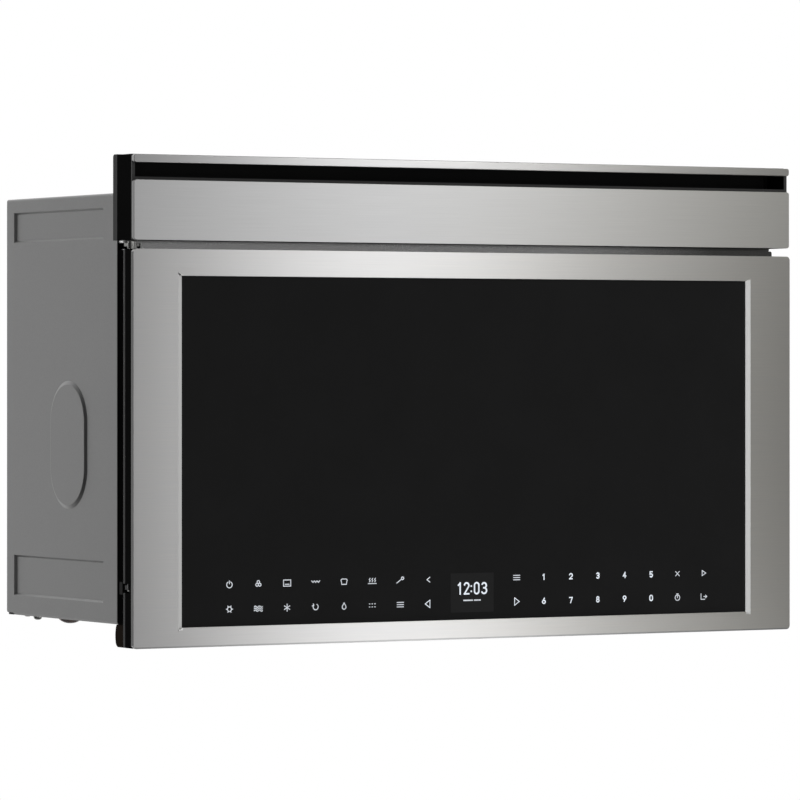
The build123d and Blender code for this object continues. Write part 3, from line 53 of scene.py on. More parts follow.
class Surface:
    """Node material around one Principled shader."""

    def __init__(self, name, color, roughness, metallic=0.0, **sockets):
        self.material = bpy.data.materials.new(name)
        self.material.use_nodes = True
        self.tree = self.material.node_tree
        self.shader = self.tree.nodes["Principled BSDF"]
        self.color = color
        self.roughness = roughness
        sockets.update(Base_Color=color, Roughness=roughness, Metallic=metallic)
        for key, value in sockets.items():
            self.shader.inputs[key.replace("_", " ")].default_value = value
        self.coordinates = self.node("ShaderNodeTexCoord").outputs["Object"]

    def node(self, kind, **settings):
        n = self.tree.nodes.new(kind)
        for key, value in settings.items():
            setattr(n, key, value)
        return n

    def link(self, a, b):
        self.tree.links.new(a, b)

    def mapped(self, scale):
        """Coordinates scaled alike along X, Y and Z, or by one scale for each."""
        mapping = self.node("ShaderNodeMapping")
        mapping.inputs["Scale"].default_value = scale if isinstance(scale, tuple) else (scale,) * 3
        self.link(self.coordinates, mapping.inputs["Vector"])
        return mapping.outputs["Vector"]

    def noise(self, scale, detail=3.0):
        n = self.node("ShaderNodeTexNoise")
        n.inputs["Scale"].default_value = 1.0
        n.inputs["Detail"].default_value = detail
        self.link(self.mapped(scale), n.inputs["Vector"])
        return n.outputs["Fac"]

    def cells(self, scale, feature="F1", output="Distance", randomness=1.0):
        n = self.node("ShaderNodeTexVoronoi", feature=feature)
        n.inputs["Scale"].default_value = 1.0
        n.inputs["Randomness"].default_value = randomness
        self.link(self.mapped(scale), n.inputs["Vector"])
        return n.outputs[output]

    def place(self, axis, absolute=False):
        """Coordinate along one axis, or its distance from 0."""
        split = self.node("ShaderNodeSeparateXYZ")
        self.link(self.coordinates, split.inputs["Vector"])
        if not absolute:
            return split.outputs[axis]
        size = self.node("ShaderNodeMath", operation="ABSOLUTE")
        self.link(split.outputs[axis], size.inputs[0])
        return size.outputs["Value"]

    def ramp(self, value, low, high, a=0.35, b=0.65):
        """Goes from low to high while a value goes from a to b, and stays level outside."""
        n = self.node("ShaderNodeMapRange")
        n.inputs["From Min"].default_value = a
        n.inputs["From Max"].default_value = b
        n.inputs["To Min"].default_value = low
        n.inputs["To Max"].default_value = high
        self.link(value, n.inputs["Value"])
        return n.outputs["Result"]

    def beyond(self, axis, start, full, absolute=False):
        """0 before the start along an axis, and 1 beyond the full place."""
        return self.ramp(self.place(axis, absolute), 0, 1, start, full)

    def both(self, a, b):
        n = self.node("ShaderNodeMath", operation="MULTIPLY")
        self.link(a, n.inputs[0])
        self.link(b, n.inputs[1])
        return n.outputs["Value"]

    def within(self, axis, low, high, absolute=False):
        """1 between two places along an axis, and 0 outside them."""
        return self.both(
            self.beyond(axis, low, low + SOFT_EDGE, absolute),
            self.beyond(axis, high + SOFT_EDGE, high, absolute),
        )

    def tint(self, value, other, amount=1.0, a=0.35, b=0.65):
        """Mixes the base colour towards another one while a value goes from a to b."""
        mix = self.node("ShaderNodeMix", data_type="RGBA")
        socket = self.shader.inputs["Base Color"]
        if socket.is_linked:
            self.link(socket.links[0].from_socket, mix.inputs["A"])
        else:
            mix.inputs["A"].default_value = self.color
        mix.inputs["B"].default_value = other
        self.link(self.ramp(value, 0.0, amount, a, b), mix.inputs["Factor"])
        self.link(mix.outputs["Result"], socket)

    def shade(self, value, factor, a=0.0, b=1.0):
        """Multiplies the base colour by a factor while a value goes from a to b."""
        mix = self.node("ShaderNodeMix", data_type="RGBA", blend_type="MULTIPLY")
        socket = self.shader.inputs["Base Color"]
        self.link(socket.links[0].from_socket, mix.inputs["A"])
        mix.inputs["B"].default_value = factor
        self.link(self.ramp(value, 0.0, 1.0, a, b), mix.inputs["Factor"])
        self.link(mix.outputs["Result"], socket)

    def marked(self, axis, start, full, color, absolute=False):
        """Gives the surface another tone beyond a place along one axis."""
        self.tint(self.place(axis, absolute), color, 1.0, start, full)
        return self

    def rougher(self, value, spread, a=0.3, b=0.7):
        low, high = self.roughness - spread, self.roughness + spread
        self.link(self.ramp(value, low, high, a, b), self.shader.inputs["Roughness"])

    def bump(self, value, height_mm):
        n = self.node("ShaderNodeBump")
        n.inputs["Distance"].default_value = height_mm * MM
        self.link(value, n.inputs["Height"])
        self.link(n.outputs["Normal"], self.shader.inputs["Normal"])


def brushed(name, level, roughness, anisotropy, warmth=0.0):
    """Steel brushed along X, whose highlight stretches up and down."""
    color = (level * (1 + warmth), level, level * (1 - warmth), 1.0)
    s = Surface(name, color, roughness, 1.0, Anisotropic=anisotropy)
    upright = s.node(
        "ShaderNodeVectorTransform",
        vector_type="VECTOR", convert_from="OBJECT", convert_to="WORLD",
    )
    upright.inputs["Vector"].default_value = (0.0, 0.0, 1.0)
    s.link(upright.outputs["Vector"], s.shader.inputs["Tangent"])
    fine = s.noise((14, 1600, 1600), detail=4.0)
    broad = s.noise((5, 240, 240))
    s.tint(fine, gray(level * 0.9), amount=0.5)
    s.tint(broad, (level * 0.96, level * 0.96, level * 0.965, 1.0), amount=0.5)
    # Painted reflection: towards its right end the steel turns a little warmer and darker
    s.shade(s.place("X"), (1.0, 0.985, 0.93, 1.0), -0.1, 0.34)
    s.rougher(fine, spread=0.025)
    s.bump(fine, height_mm=0.006)
    return s


def coated(name, color, roughness, grain, height_mm=0.02, spread=0.05, metallic=0.0):
    """Powder coat or moulded grain: fine orange peel and a slow drift of tone."""
    s = Surface(name, color, roughness, metallic)
    peel = s.noise(grain)
    drift = s.noise(7)
    dark = scaled(color, 1 - spread)
    s.tint(drift, dark)
    s.tint(peel, dark, amount=0.5)
    s.rougher(peel, spread=0.05)
    s.bump(peel, height_mm)
    return s


def zinc_sheet(name, color, roughness=0.5, metallic=0.85, patch=0.2):
    """Galvanised sheet with its patchy spangle and rolling lines."""
    s = Surface(name, color, roughness, metallic)
    spangle = s.node("ShaderNodeSeparateColor")
    s.link(s.cells(150, output="Color"), spangle.inputs["Color"])
    s.tint(spangle.outputs["Red"], scaled(color, 1 - patch), 0.6, 0.2, 0.9)
    rolled = s.noise((12, 500, 500))
    s.tint(rolled, scaled(color, 0.92), amount=0.5)
    s.rougher(spangle.outputs["Green"], patch * 0.4, 0.1, 0.9)
    s.bump(rolled, height_mm=0.01)
    return s


def moulded(name, color, roughness, grain=1600, height_mm=0.02, specular=0.5):
    """Moulded plastic or rubber with a fine grain."""
    s = Surface(name, color, roughness, Specular_IOR_Level=specular)
    grains = s.cells(grain)
    drift = s.noise(9)
    s.tint(drift, scaled(color, 1.25), amount=0.6)
    s.rougher(drift, spread=0.05)
    s.bump(grains, height_mm)
    return s


def polished(name, color, roughness, metallic=1.0, scratch=0.06):
    """Smooth metal with fine wear and a slight stain."""
    s = Surface(name, color, roughness, metallic)
    wear = s.noise((60, 60, 900), detail=4.0)
    stain = s.noise(40)
    s.tint(stain, scaled(color, 0.8), amount=0.5)
    s.rougher(wear, scratch)
    s.bump(wear, height_mm=0.008)
    return s


def enamel(name, color, fleck):
    """Vitreous enamel with small pale flecks and a wavy gloss."""
    s = Surface(
        name, color, 0.22,
        Coat_Weight=0.1, Coat_Roughness=0.12, Specular_IOR_Level=0.16,
    )
    s.tint(s.cells(420), fleck, 0.7, 0.22, 0.08)
    s.tint(s.noise(10, detail=2.0), scaled(color, 0.9), amount=0.8)
    waves = s.noise(45, detail=2.0)
    s.rougher(waves, spread=0.04)
    s.bump(waves, height_mm=0.06)
    return s


def black_glass(name, level):
    """Glass printed black behind, with a faint haze and smears."""
    s = Surface(name, (level, level, level * 1.01, 1.0), 0.06, Specular_IOR_Level=0.3)
    haze = s.noise(14)
    s.tint(haze, (level * 1.15, level * 1.15, level * 1.17, 1.0), amount=0.8)
    s.rougher(s.noise((90, 90, 30)), spread=0.025)
    return s


def clear_glass(name, color):
    s = Surface(name, color, 0.03, Transmission_Weight=0.92, IOR=1.5)
    ripple = s.noise(30, detail=2.0)
    s.rougher(ripple, spread=0.02)
    s.bump(ripple, height_mm=0.03)
    return s


def glow(name, color, strength):
    """Lit mark with a slightly uneven back light."""
    s = Surface(name, gray(0.02), 0.3, Emission_Color=color, Emission_Strength=strength)
    uneven = s.noise(160, detail=2.0)
    mix = s.node("ShaderNodeMix", data_type="RGBA")
    mix.inputs["A"].default_value = color
    mix.inputs["B"].default_value = scaled(color, 0.8)
    s.link(s.ramp(uneven, 0.0, 1.0), mix.inputs["Factor"])
    s.link(mix.outputs["Result"], s.shader.inputs["Emission Color"])
    s.rougher(uneven, spread=0.05)
    return s


def filter_mesh(name, color):
    """Aluminium mesh in a frame: diamond strands in the bump and tone."""
    s = Surface(name, color, 0.35, 0.9)
    strands = s.cells(330, feature="DISTANCE_TO_EDGE")
    s.tint(strands, gray(0.06), 0.6, 0.05, 0.25)
    s.bump(strands, height_mm=0.5)
    s.rougher(s.noise(60, detail=2.0), spread=0.08)
    return s


def screen_mesh(name, color):
    """Enamelled sheet with a grid of fine holes, printed dark."""
    s = Surface(name, color, 0.4)
    holes = s.cells(480, randomness=0.0)
    s.tint(holes, gray(0.002), 1.0, 0.42, 0.34)
    s.rougher(s.noise(30), spread=0.05)
    s.bump(holes, height_mm=0.3)
    return s


# Door skin: painted highlight on the bevels around the glass, and painted shade on the lower edge
# and side returns
BEVEL_X = (0.3255, 0.3306)
BEVEL_Z = (-0.2136, 0.1290)
steel = brushed("door_steel_brushed", 0.67, 0.34, 0.85, 0.012)
bevel_highlight = steel.both(steel.within("X", *BEVEL_X, True), steel.within("Z", *BEVEL_Z))
steel.tint(bevel_highlight, (0.98, 0.98, 0.97, 1.0), 1.0, 0.0, 1.0)
steel.marked("Z", -0.2284, -0.2290, gray(0.42))
steel.marked("X", 0.3792, 0.3794, gray(0.19), absolute=True)
bar_steel = brushed("bar_steel_brushed", 0.57, 0.34, 0.85, 0.004)
fascia_steel = brushed("fascia_steel_brushed", 0.6, 0.44, 0.72)
# Painted shade: the side returns of the fascia are darker
fascia_steel.marked("X", 0.3782, 0.3785, gray(0.4), absolute=True)

# Casing: painted shade, a near-black band along its front edge, close behind the front
casing_paint = coated(
    "casing_powder_coat", gray(0.322), 0.35, grain=800, spread=0.03, metallic=0.92,
)
casing_paint.marked("Y", -0.2449, -0.2452, gray(0.01))
zinc = zinc_sheet("zinc_sheet", (0.55, 0.55, 0.555, 1.0))
zinc_dark = zinc_sheet("zinc_sheet_inside", (0.25, 0.25, 0.255, 1.0))

# Front frame: the strip that shows in the gap is smoother, painted lighter against the shade it
# lies in, and given painted shade at its right end, where it reflects darker surroundings
GAP_Z = (0.150, 0.152)
GAP_END_X = (0.14, 0.3)
zinc_front = zinc_sheet("zinc_sheet_front", gray(0.62), 0.4, 0.9, 0.07)
zinc_front.marked("Z", *GAP_Z, gray(0.96))
gap_roughness = zinc_front.ramp(zinc_front.place("Z"), 0.4, 0.2, *GAP_Z)
zinc_front.link(gap_roughness, zinc_front.shader.inputs["Roughness"])
gap_end_shade = zinc_front.both(zinc_front.beyond("X", *GAP_END_X), zinc_front.beyond("Z", *GAP_Z))
zinc_front.shade(gap_end_shade, (0.24, 0.24, 0.23, 1.0))

# Black mouldings: the carrier's paler lip in front is painted light, and its sides behind the lip
# are black. The trims are painted almost black as the shade of the recess between casing and door,
# paler on their outer face, and brown at their lower end, below that shade
BLACK = gray(0.0018)
LIP_Y = (-0.2812, -0.2818)
CARRIER_SIDE_X = (0.3780, 0.3784)
black_plastic = moulded("black_moulding", BLACK, 0.6, specular=0.005)
carrier_plastic = moulded("carrier_moulding", gray(0.0048), 0.6, specular=0.005)
carrier_plastic.marked("Y", *LIP_Y, gray(0.07))
carrier_side = carrier_plastic.both(
    carrier_plastic.beyond("X", *CARRIER_SIDE_X, absolute=True),
    carrier_plastic.beyond("Y", *reversed(LIP_Y)),
)
carrier_plastic.tint(carrier_side, BLACK, 1.0, 0.0, 1.0)
trim_plastic = moulded("trim_moulding", gray(0.0008), 0.6, specular=0.002)
trim_plastic.marked("X", 0.37502, 0.37512, gray(0.017), absolute=True)
trim_plastic.marked("Z", -0.2082, -0.2088, (0.0085, 0.0065, 0.005, 1.0))

# The door's inner pan is paler on its back, which faces the oven. The lower hinge arm is dark,
# partly dark paint and partly painted shade of the recess it sits in
pan_enamel = enamel("door_pan_enamel", (0.009, 0.009, 0.0093, 1.0), gray(0.025))
pan_enamel.marked("Y", -0.2663, -0.2661, (0.075, 0.075, 0.077, 1.0))
bracket_zinc = polished("bracket_zinc", (0.42, 0.42, 0.41, 1.0), 0.28)
bracket_zinc.marked("Z", -0.1, -0.15, gray(0.05))

duct_plastic = moulded("duct_moulding", gray(0.03), 0.6, specular=0.05)
choke_plastic = moulded("choke_moulding", (0.012, 0.012, 0.013, 1.0), 0.4)
white_plastic = moulded("acetal", (0.6, 0.6, 0.57, 1.0), 0.38)
tan_plastic = moulded("switch_moulding", (0.45, 0.4, 0.28, 1.0), 0.45)
rubber = moulded("rubber", gray(0.012), 0.75, grain=700, height_mm=0.04)
cavity_enamel = enamel("cavity_enamel", (0.16, 0.16, 0.165, 1.0), gray(0.4))
bright_zinc = polished("bright_zinc", (0.62, 0.62, 0.6, 1.0), 0.28)
fan_metal = polished("fan_sheet", (0.55, 0.55, 0.54, 1.0), 0.35)
heater_tube = polished("heater_tube", (0.09, 0.08, 0.075, 1.0), 0.42, 0.9, scratch=0.1)
dark_iron = coated(
    "varnished_iron", (0.045, 0.04, 0.035, 1.0), 0.45, grain=500, height_mm=0.05, spread=0.2,
)
mica = coated("mica_sheet", (0.42, 0.38, 0.3, 1.0), 0.4, grain=300, height_mm=0.04, spread=0.15)
charcoal = coated("charcoal_granules", gray(0.012), 0.8, grain=300, height_mm=0.5, spread=0.3)
board_green = coated("circuit_board", (0.02, 0.09, 0.035, 1.0), 0.35, grain=300, spread=0.2)
lamp_glass = coated("frosted_lamp", (0.75, 0.72, 0.62, 1.0), 0.5, grain=400)
glass_black = black_glass("black_glass", 0.0115)
display_glass = black_glass("display_window", 0.021)
glass_clear = clear_glass("clear_glass", (0.93, 0.97, 0.96, 1.0))
glass_lens = clear_glass("lamp_lens_glass", (0.34, 0.22, 0.18, 1.0))
filter_metal = filter_mesh("filter_aluminium", (0.5, 0.5, 0.51, 1.0))
screen_enamel = screen_mesh("screen_enamel", gray(0.14))
bright_mark = glow("lit_mark", (0.86, 0.92, 1.0, 1.0), 0.98)
dim_mark = glow("lit_mark_dim", (0.8, 0.84, 0.9, 1.0), 0.85)

by_node = {
    steel: ("door_skin",),
    bar_steel: ("top_bar",),
    fascia_steel: ("fascia_panel",),
    casing_paint: ("outer_wrapper",),
    zinc: ("rear_panel", "base_plate", "exhaust_cover"),
    zinc_front: ("front_frame", "upper_front_panel"),
    zinc_dark: ("blower_housing", "convection_housing", "cooling_fan_frame", "waveguide"),
    black_plastic: ("door_frame", "latch_body", "cord_gland"),
    carrier_plastic: ("fascia_carrier",),
    trim_plastic: ("surround_trims",),
    duct_plastic: ("vent_duct",),
    choke_plastic: ("choke_cover",),
    white_plastic: (
        "hinge_bushes", "door_pusher", "turntable_coupler", "cooling_fan", "blower_wheels",
        "roller_ring", "roller_1", "roller_2", "roller_3",
    ),
    tan_plastic: ("interlock_switches", "probe_jack"),
    rubber: ("rear_tabs",),
    pan_enamel: ("door_inner_panel",),
    cavity_enamel: ("cavity_shell",),
    bracket_zinc: ("hinge_brackets",),
    bright_zinc: ("hinge_pins", "base_screws", "latch_hooks", "release_lever"),
    fan_metal: (
        "convection_fan", "capacitor", "magnetron",
        "blower_motor", "convection_motor", "turntable_motor",
    ),
    heater_tube: ("broil_element", "convection_heater"),
    dark_iron: ("transformer", "release_magnet"),
    mica: ("waveguide_cover",),
    charcoal: ("charcoal_filter",),
    board_green: ("power_board", "touch_board"),
    glass_black: ("door_glass",),
    glass_clear: ("window_glass", "glass_tray"),
    glass_lens: ("cooktop_lamps",),
    lamp_glass: ("cavity_lamp",),
    filter_metal: ("grease_filter_left", "grease_filter_right"),
}
for surface, names in by_node.items():
    for name in names:
        data = nodes[name].data
        data.materials.clear()
        data.materials.append(surface.material)


# Mesh helpers, in millimetres

def piece(name, bm, surface, body):
    """Object of a mesh, which moves with one body."""
    mesh = bpy.data.meshes.new(name)
    bm.to_mesh(mesh)
    bm.free()
    mesh.transform(Matrix.Scale(MM, 4))
    mesh.materials.append(surface.material)
    obj = bpy.data.objects.new(name, mesh)
    scene.collection.objects.link(obj)
    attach(obj, body)


def add_slab(bm, outline, y_front, y_back):
    """Prism of an outline in XZ, between two values of Y."""
    front = [bm.verts.new((x, y_front, z)) for x, z in outline]
    back = [bm.verts.new((x, y_back, z)) for x, z in outline]
    bm.faces.new(front)
    bm.faces.new(list(reversed(back)))
    count = len(outline)
    for i in range(count):
        j = (i + 1) % count
        bm.faces.new((front[j], front[i], back[i], back[j]))


def arc(cx, cz, radius, start, end, steps=10):
    """Points along a circle from one angle to another, in degrees."""
    angles = [math.radians(start + (end - start) * i / steps) for i in range(steps + 1)]
    return [(cx + radius * math.cos(a), cz + radius * math.sin(a)) for a in angles]


def rounded(x0, x1, z0, z1, radius):
    """Outline of a rectangle with round corners."""
    left, right = x0 + radius, x1 - radius
    low, high = z0 + radius, z1 - radius
    points = []
    for cx, cz, start in ((right, high, 0), (left, high, 90), (left, low, 180), (right, low, 270)):
        points += arc(cx, cz, radius, start, start + 90, steps=5)
    return points


def stroke(a, b, width):
    """Four corners of a thick line from a to b in XZ, half its width longer at both ends."""
    dx, dz = b[0] - a[0], b[1] - a[1]
    length = math.hypot(dx, dz)
    nx, nz = -dz / length * width / 2, dx / length * width / 2
    ex, ez = dx / length * width / 2, dz / length * width / 2
    return [
        (a[0] - ex + nx, a[1] - ez + nz),
        (a[0] - ex - nx, a[1] - ez - nz),
        (b[0] + ex - nx, b[1] + ez - nz),
        (b[0] + ex + nx, b[1] + ez + nz),
    ]


# Pan-head screws with a cross recess. The rings give a share of the radius and of the height.
HEAD_SIDES = 24
HEAD_RINGS = ((1.0, 0.35), (0.9, 0.72), (0.66, 1.0))
HEAD_SINK = 0.04
CROSS_ARM, CROSS_HALF_WIDTH = 0.5, 0.13
CROSS_TAPER = 0.7
CROSS_FLOOR = 0.3


def add_screw(bm, place, normal, radius, height):
    """Screw head, its seat at a place on a surface."""
    turn = Vector(normal).to_track_quat("Z", "Y").to_matrix()

    def ring(points, w):
        return [bm.verts.new(Vector(place) + turn @ Vector((u, v, w))) for u, v in points]

    def wall(a, b):
        for i in range(len(a)):
            j = (i + 1) % len(a)
            bm.faces.new((a[i], a[j], b[j], b[i]))

    angles = [math.radians(360 / HEAD_SIDES * i) for i in range(HEAD_SIDES)]
    circle = [(math.cos(a), math.sin(a)) for a in angles]
    rings = [ring([(radius * u, radius * v) for u, v in circle], -HEAD_SINK)]
    for share, level in HEAD_RINGS:
        points = [(share * radius * u, share * radius * v) for u, v in circle]
        rings.append(ring(points, level * height))
        wall(*rings[-2:])
    arm, half = CROSS_ARM * radius, CROSS_HALF_WIDTH * radius
    quarter = [(arm, -half), (arm, half), (half, half)]
    cross = []
    for _ in range(4):
        cross += quarter
        quarter = [(-v, u) for u, v in quarter]
    mouth = ring(cross, height)
    foot = ring([(u * CROSS_TAPER, v * CROSS_TAPER) for u, v in cross], CROSS_FLOOR * height)
    wall(foot, mouth)
    bm.faces.new(foot)
    edges = []
    for loop in (rings[-1], mouth):
        for a, b in zip(loop, loop[1:] + loop[:1]):
            edges.append(bm.edges.get((a, b)) or bm.edges.new((a, b)))
    bmesh.ops.triangle_fill(bm, edges=edges, use_beauty=True)


def screws(name, places, normal, body, radius, height):
    bm = bmesh.new()
    for place in places:
        add_screw(bm, place, normal, radius, height)
    bmesh.ops.recalc_face_normals(bm, faces=bm.faces[:])
    piece(name, bm, bright_zinc, body)


# Fasteners that such an oven has on its top and front frame
UP, FORWARD = (0, 0, 1), (0, -1, 0)
TOP_Z = 208.5
FRAME_Y = -264.5
top_places = [(x, -8.5, TOP_Z) for x in (-340, -150, 60, 250, 340)]
top_places += [(x, -238, TOP_Z) for x in (-340, 0, 340)]
hinge_places = [(-358, FRAME_Y, z) for z in (-189, -161)]
latch_places = [(359, FRAME_Y, z) for z in (95, -150, -24)]
screws("top_screws", top_places, UP, "casing", radius=3.1, height=1.0)
screws("hinge_screws", hinge_places, FORWARD, "casing", radius=2.8, height=0.8)
screws("latch_screws", latch_places, FORWARD, "casing", radius=2.8, height=0.8)

# Screen behind the window's glass
bm = bmesh.new()
add_slab(bm, rounded(-291, 231, -131, 109, 3.0), -271.0, -270.4)
piece("window_screen", bm, screen_enamel, "door")


# Control marks on the glass: digits, arrows, and a small pictogram for each function
GLASS_Y = -284.5
MARK_FRONT, MARK_BACK = GLASS_Y - 0.06, GLASS_Y + 0.02
PANEL_FRONT = GLASS_Y - 0.03
STROKE_STEP = 0.0006
ROW_1, ROW_2 = -170.4, -194.4
SYMBOL_COLUMNS = [-273.5 + 31.85 * i for i in range(8)]
DIGIT_COLUMNS = [83.8 + 31.95 * i for i in range(5)]
ARROW_COLUMNS = {-1: -51.0, 1: 51.9}
BUTTON_COLUMNS = (243.4, 275.3)
SYMBOL_LINE, BUTTON_LINE, ARROW_LINE = 0.85, 0.8, 0.75
KEY_DIGIT, KEY_DIGIT_LINE = (3.2, 5.2), 1.15
DISPLAY = (-24.7, 25.0, -203.8, -164.8)
CLOCK_DIGIT, CLOCK_LINE = (5.0, 10.8), 1.55
CLOCK_Z = -180.0
CLOCK_DIGITS = ((1, -14.0), (2, -6.3), (0, 5.3), (3, 13.9))
COLON_LEVELS, COLON_LINE = (-177.8, -183.0), 1.6
BAR_Z, BAR_LINE = -191.9, 1.3
BARS = ((-8.2, 2.6), (-4.4, 2.2), (-0.8, 2.4), (4.6, 3.4), (8.6, 1.6))


def digit_paths(digit, width, height):
    """Centre lines of a plain sans-serif digit, centred on 0."""
    x, z = width / 2, height / 2
    if digit == 0:
        return [arc(0, z - x, x, 0, 180) + arc(0, -z + x, x, 180, 360) + [(x, z - x)]]
    if digit == 1:
        return [[(-x * 0.7, z * 0.62), (0.1 * x, z), (0.1 * x, -z)]]
    if digit == 2:
        return [arc(0, z - x, x, 165, -35) + [(-x, -z), (x, -z)]]
    if digit == 3:
        bow = height * 0.26
        upper = arc(0, z - bow, min(bow, x), 150, -80) + [(-0.15 * x, 0.02 * height)]
        return [upper, arc(0, -z + bow, bow, 85, -150)]
    if digit == 4:
        return [[(0.35 * x, -z), (0.35 * x, z), (-x, -z * 0.38), (x, -z * 0.38)]]
    if digit == 5:
        bow = height * 0.29
        flag = [(x * 0.85, z), (-x * 0.75, z), (-x * 0.85, 0.03 * height)]
        return [flag + arc(0, -z + bow, bow, 115, -145)]
    if digit == 6:
        return [arc(0, -z + x, x, 0, 360, 18), [(-x * 0.97, -z + x * 1.1), (0.35 * x, z)]]
    if digit == 7:
        return [[(-x, z), (x, z), (-0.25 * x, -z)]]
    if digit == 8:
        upper, lower = height * 0.235, height * 0.265
        return [arc(0, z - upper, upper, 0, 360, 16), arc(0, -z + lower, lower, 0, 360, 18)]
    return [arc(0, z - x, x, 0, 360, 18), [(x * 0.97, z - x * 1.1), (-0.35 * x, -z)]]


def spokes(inner, outer, degrees):
    """Straight lines from one circle to another."""
    angles = [math.radians(d) for d in degrees]
    return [[(r * math.cos(a), r * math.sin(a)) for r in (inner, outer)] for a in angles]


# Centre lines of generic function symbols, about 9 mm wide
PICTOGRAMS = {
    "power": [arc(0, -0.3, 3.0, 60, -240, 14), [(0, 3.4), (0, 0.6)]],
    "fan": [
        arc(0, 1.7, 1.4, -90, 200, 8),
        arc(1.5, -1.0, 1.4, 150, 440, 8),
        arc(-1.5, -1.0, 1.4, 30, 320, 8),
    ],
    "oven": [[(-4, 3), (4, 3), (4, -3), (-4, -3), (-4, 3)], [(-2.2, -1.2), (2.2, -1.2)]],
    "grill": [[(-4.5, 1.5), (-3, 0), (-1.5, 1.5), (0, 0), (1.5, 1.5), (3, 0), (4.5, 1.5)]],
    "slice": [
        arc(-2, 1.2, 1.4, 90, 220, 5) + [(-2.6, -2.6), (2.6, -2.6)]
        + arc(2, 1.2, 1.4, -40, 90, 5) + [(-2, 2.6)]
    ],
    "dry": [[(-4.5, -2.5), (4.5, -2.5)]] + [
        [(x, -0.8), (x + 0.8, 0.4), (x - 0.2, 1.4), (x + 0.6, 2.6)] for x in (-3.2, -0.2, 2.8)
    ],
    "probe": [[(-4, -2.6), (1.5, 1.2)], arc(2.6, 2.0, 1.3, 0, 360, 10)],
    "back": [[(1.8, 2.4), (-1.4, 0), (1.8, -2.4)]],
    "gear": [arc(0, 0, 2.2, 0, 360, 14)] + spokes(2.2, 3.4, range(0, 360, 60)),
    "waves": [
        [(-4.5 + i * 0.9, z + 0.7 * math.sin(i * 1.25)) for i in range(11)]
        for z in (1.7, -0.2, -2.1)
    ],
    "flake": spokes(3.4, -3.4, (30, 90, 150)),
    "reheat": [arc(0, 0, 2.8, 60, -220, 12), [(-2.6, 2.9), (-2.2, 1.4), (-3.8, 1.0)]],
    "melt": [[(0, 3.2), (-1.9, 0)] + arc(0, -0.9, 2.1, 155, 385, 9) + [(0, 3.2)]],
    "dots": [[(x - 0.3, z), (x + 0.3, z)] for x in (-3, 0, 3) for z in (1.5, -1.5)],
    "list": [[(-3.6, z), (3.6, z)] for z in (2.2, 0.0, -2.2)],
    "stop": [[(-2.2, 2.2), (2.2, -2.2)], [(-2.2, -2.2), (2.2, 2.2)]],
    "start": [[(-1.8, 2.6), (-1.8, -2.6), (2.6, 0), (-1.8, 2.6)]],
    "timer": [arc(0, -0.4, 2.8, 0, 360, 14), [(0, -0.4), (0, 1.4)], [(-1, 3.4), (1, 3.4)]],
    "door": [
        [(-3.2, 2.8), (-3.2, -2.8), (1.2, -2.8)],
        [(0.2, 0), (3.8, 0)],
        [(2.4, 1.3), (3.8, 0), (2.4, -1.3)],
    ],
}
SYMBOL_ROWS = {
    ROW_1: ("power", "fan", "oven", "grill", "slice", "dry", "probe", "back"),
    ROW_2: ("gear", "waves", "flake", "reheat", "melt", "dots", "list"),
}
BUTTON_ROWS = {ROW_1: ("stop", "start"), ROW_2: ("timer", "door")}


def add_paths(bm, paths, cx, cz, width):
    """Strokes along centre lines, each a hair in front of the last, so none share a plane."""
    step = 0
    for path in paths:
        for a, b in zip(path, path[1:]):
            corners = stroke((a[0] + cx, a[1] + cz), (b[0] + cx, b[1] + cz), width)
            add_slab(bm, corners, MARK_FRONT - STROKE_STEP * step, MARK_BACK)
            step += 1


bm = bmesh.new()
for z, kinds in SYMBOL_ROWS.items():
    for kind, x in zip(kinds, SYMBOL_COLUMNS):
        add_paths(bm, PICTOGRAMS[kind], x, z, SYMBOL_LINE)
add_paths(bm, PICTOGRAMS["list"], ARROW_COLUMNS[1], ROW_1, SYMBOL_LINE)
for z, kinds in BUTTON_ROWS.items():
    for kind, x in zip(kinds, BUTTON_COLUMNS):
        add_paths(bm, PICTOGRAMS[kind], x, z, BUTTON_LINE)
piece("function_symbols", bm, dim_mark, "door")

bm = bmesh.new()
for i, x in enumerate(DIGIT_COLUMNS):
    add_paths(bm, digit_paths(i + 1, *KEY_DIGIT), x, ROW_1, KEY_DIGIT_LINE)
    add_paths(bm, digit_paths((i + 6) % 10, *KEY_DIGIT), x, ROW_2, KEY_DIGIT_LINE)
for side, x in ARROW_COLUMNS.items():
    tip, base = side * 3.0, -side * 2.4
    arrow = [(base, 3.7), (tip, 0), (base, -3.7), (base, 3.7)]
    add_paths(bm, [arrow], x, ROW_2, ARROW_LINE)
piece("key_digits", bm, bright_mark, "door")

bm = bmesh.new()
add_slab(bm, rounded(*DISPLAY, 0.6), PANEL_FRONT, MARK_BACK)
piece("display_panel", bm, display_glass, "door")

bm = bmesh.new()
for digit, x in CLOCK_DIGITS:
    add_paths(bm, digit_paths(digit, *CLOCK_DIGIT), x, CLOCK_Z, CLOCK_LINE)
for z in COLON_LEVELS:
    add_paths(bm, [[(-1.0, z), (-0.9, z)]], 0, 0, COLON_LINE)
piece("clock_digits", bm, bright_mark, "door")

bm = bmesh.new()
for x, width in BARS:
    add_paths(bm, [[(-width / 2, 0), (width / 2, 0)]], x, BAR_Z, BAR_LINE)
piece("display_bar", bm, dim_mark, "door")


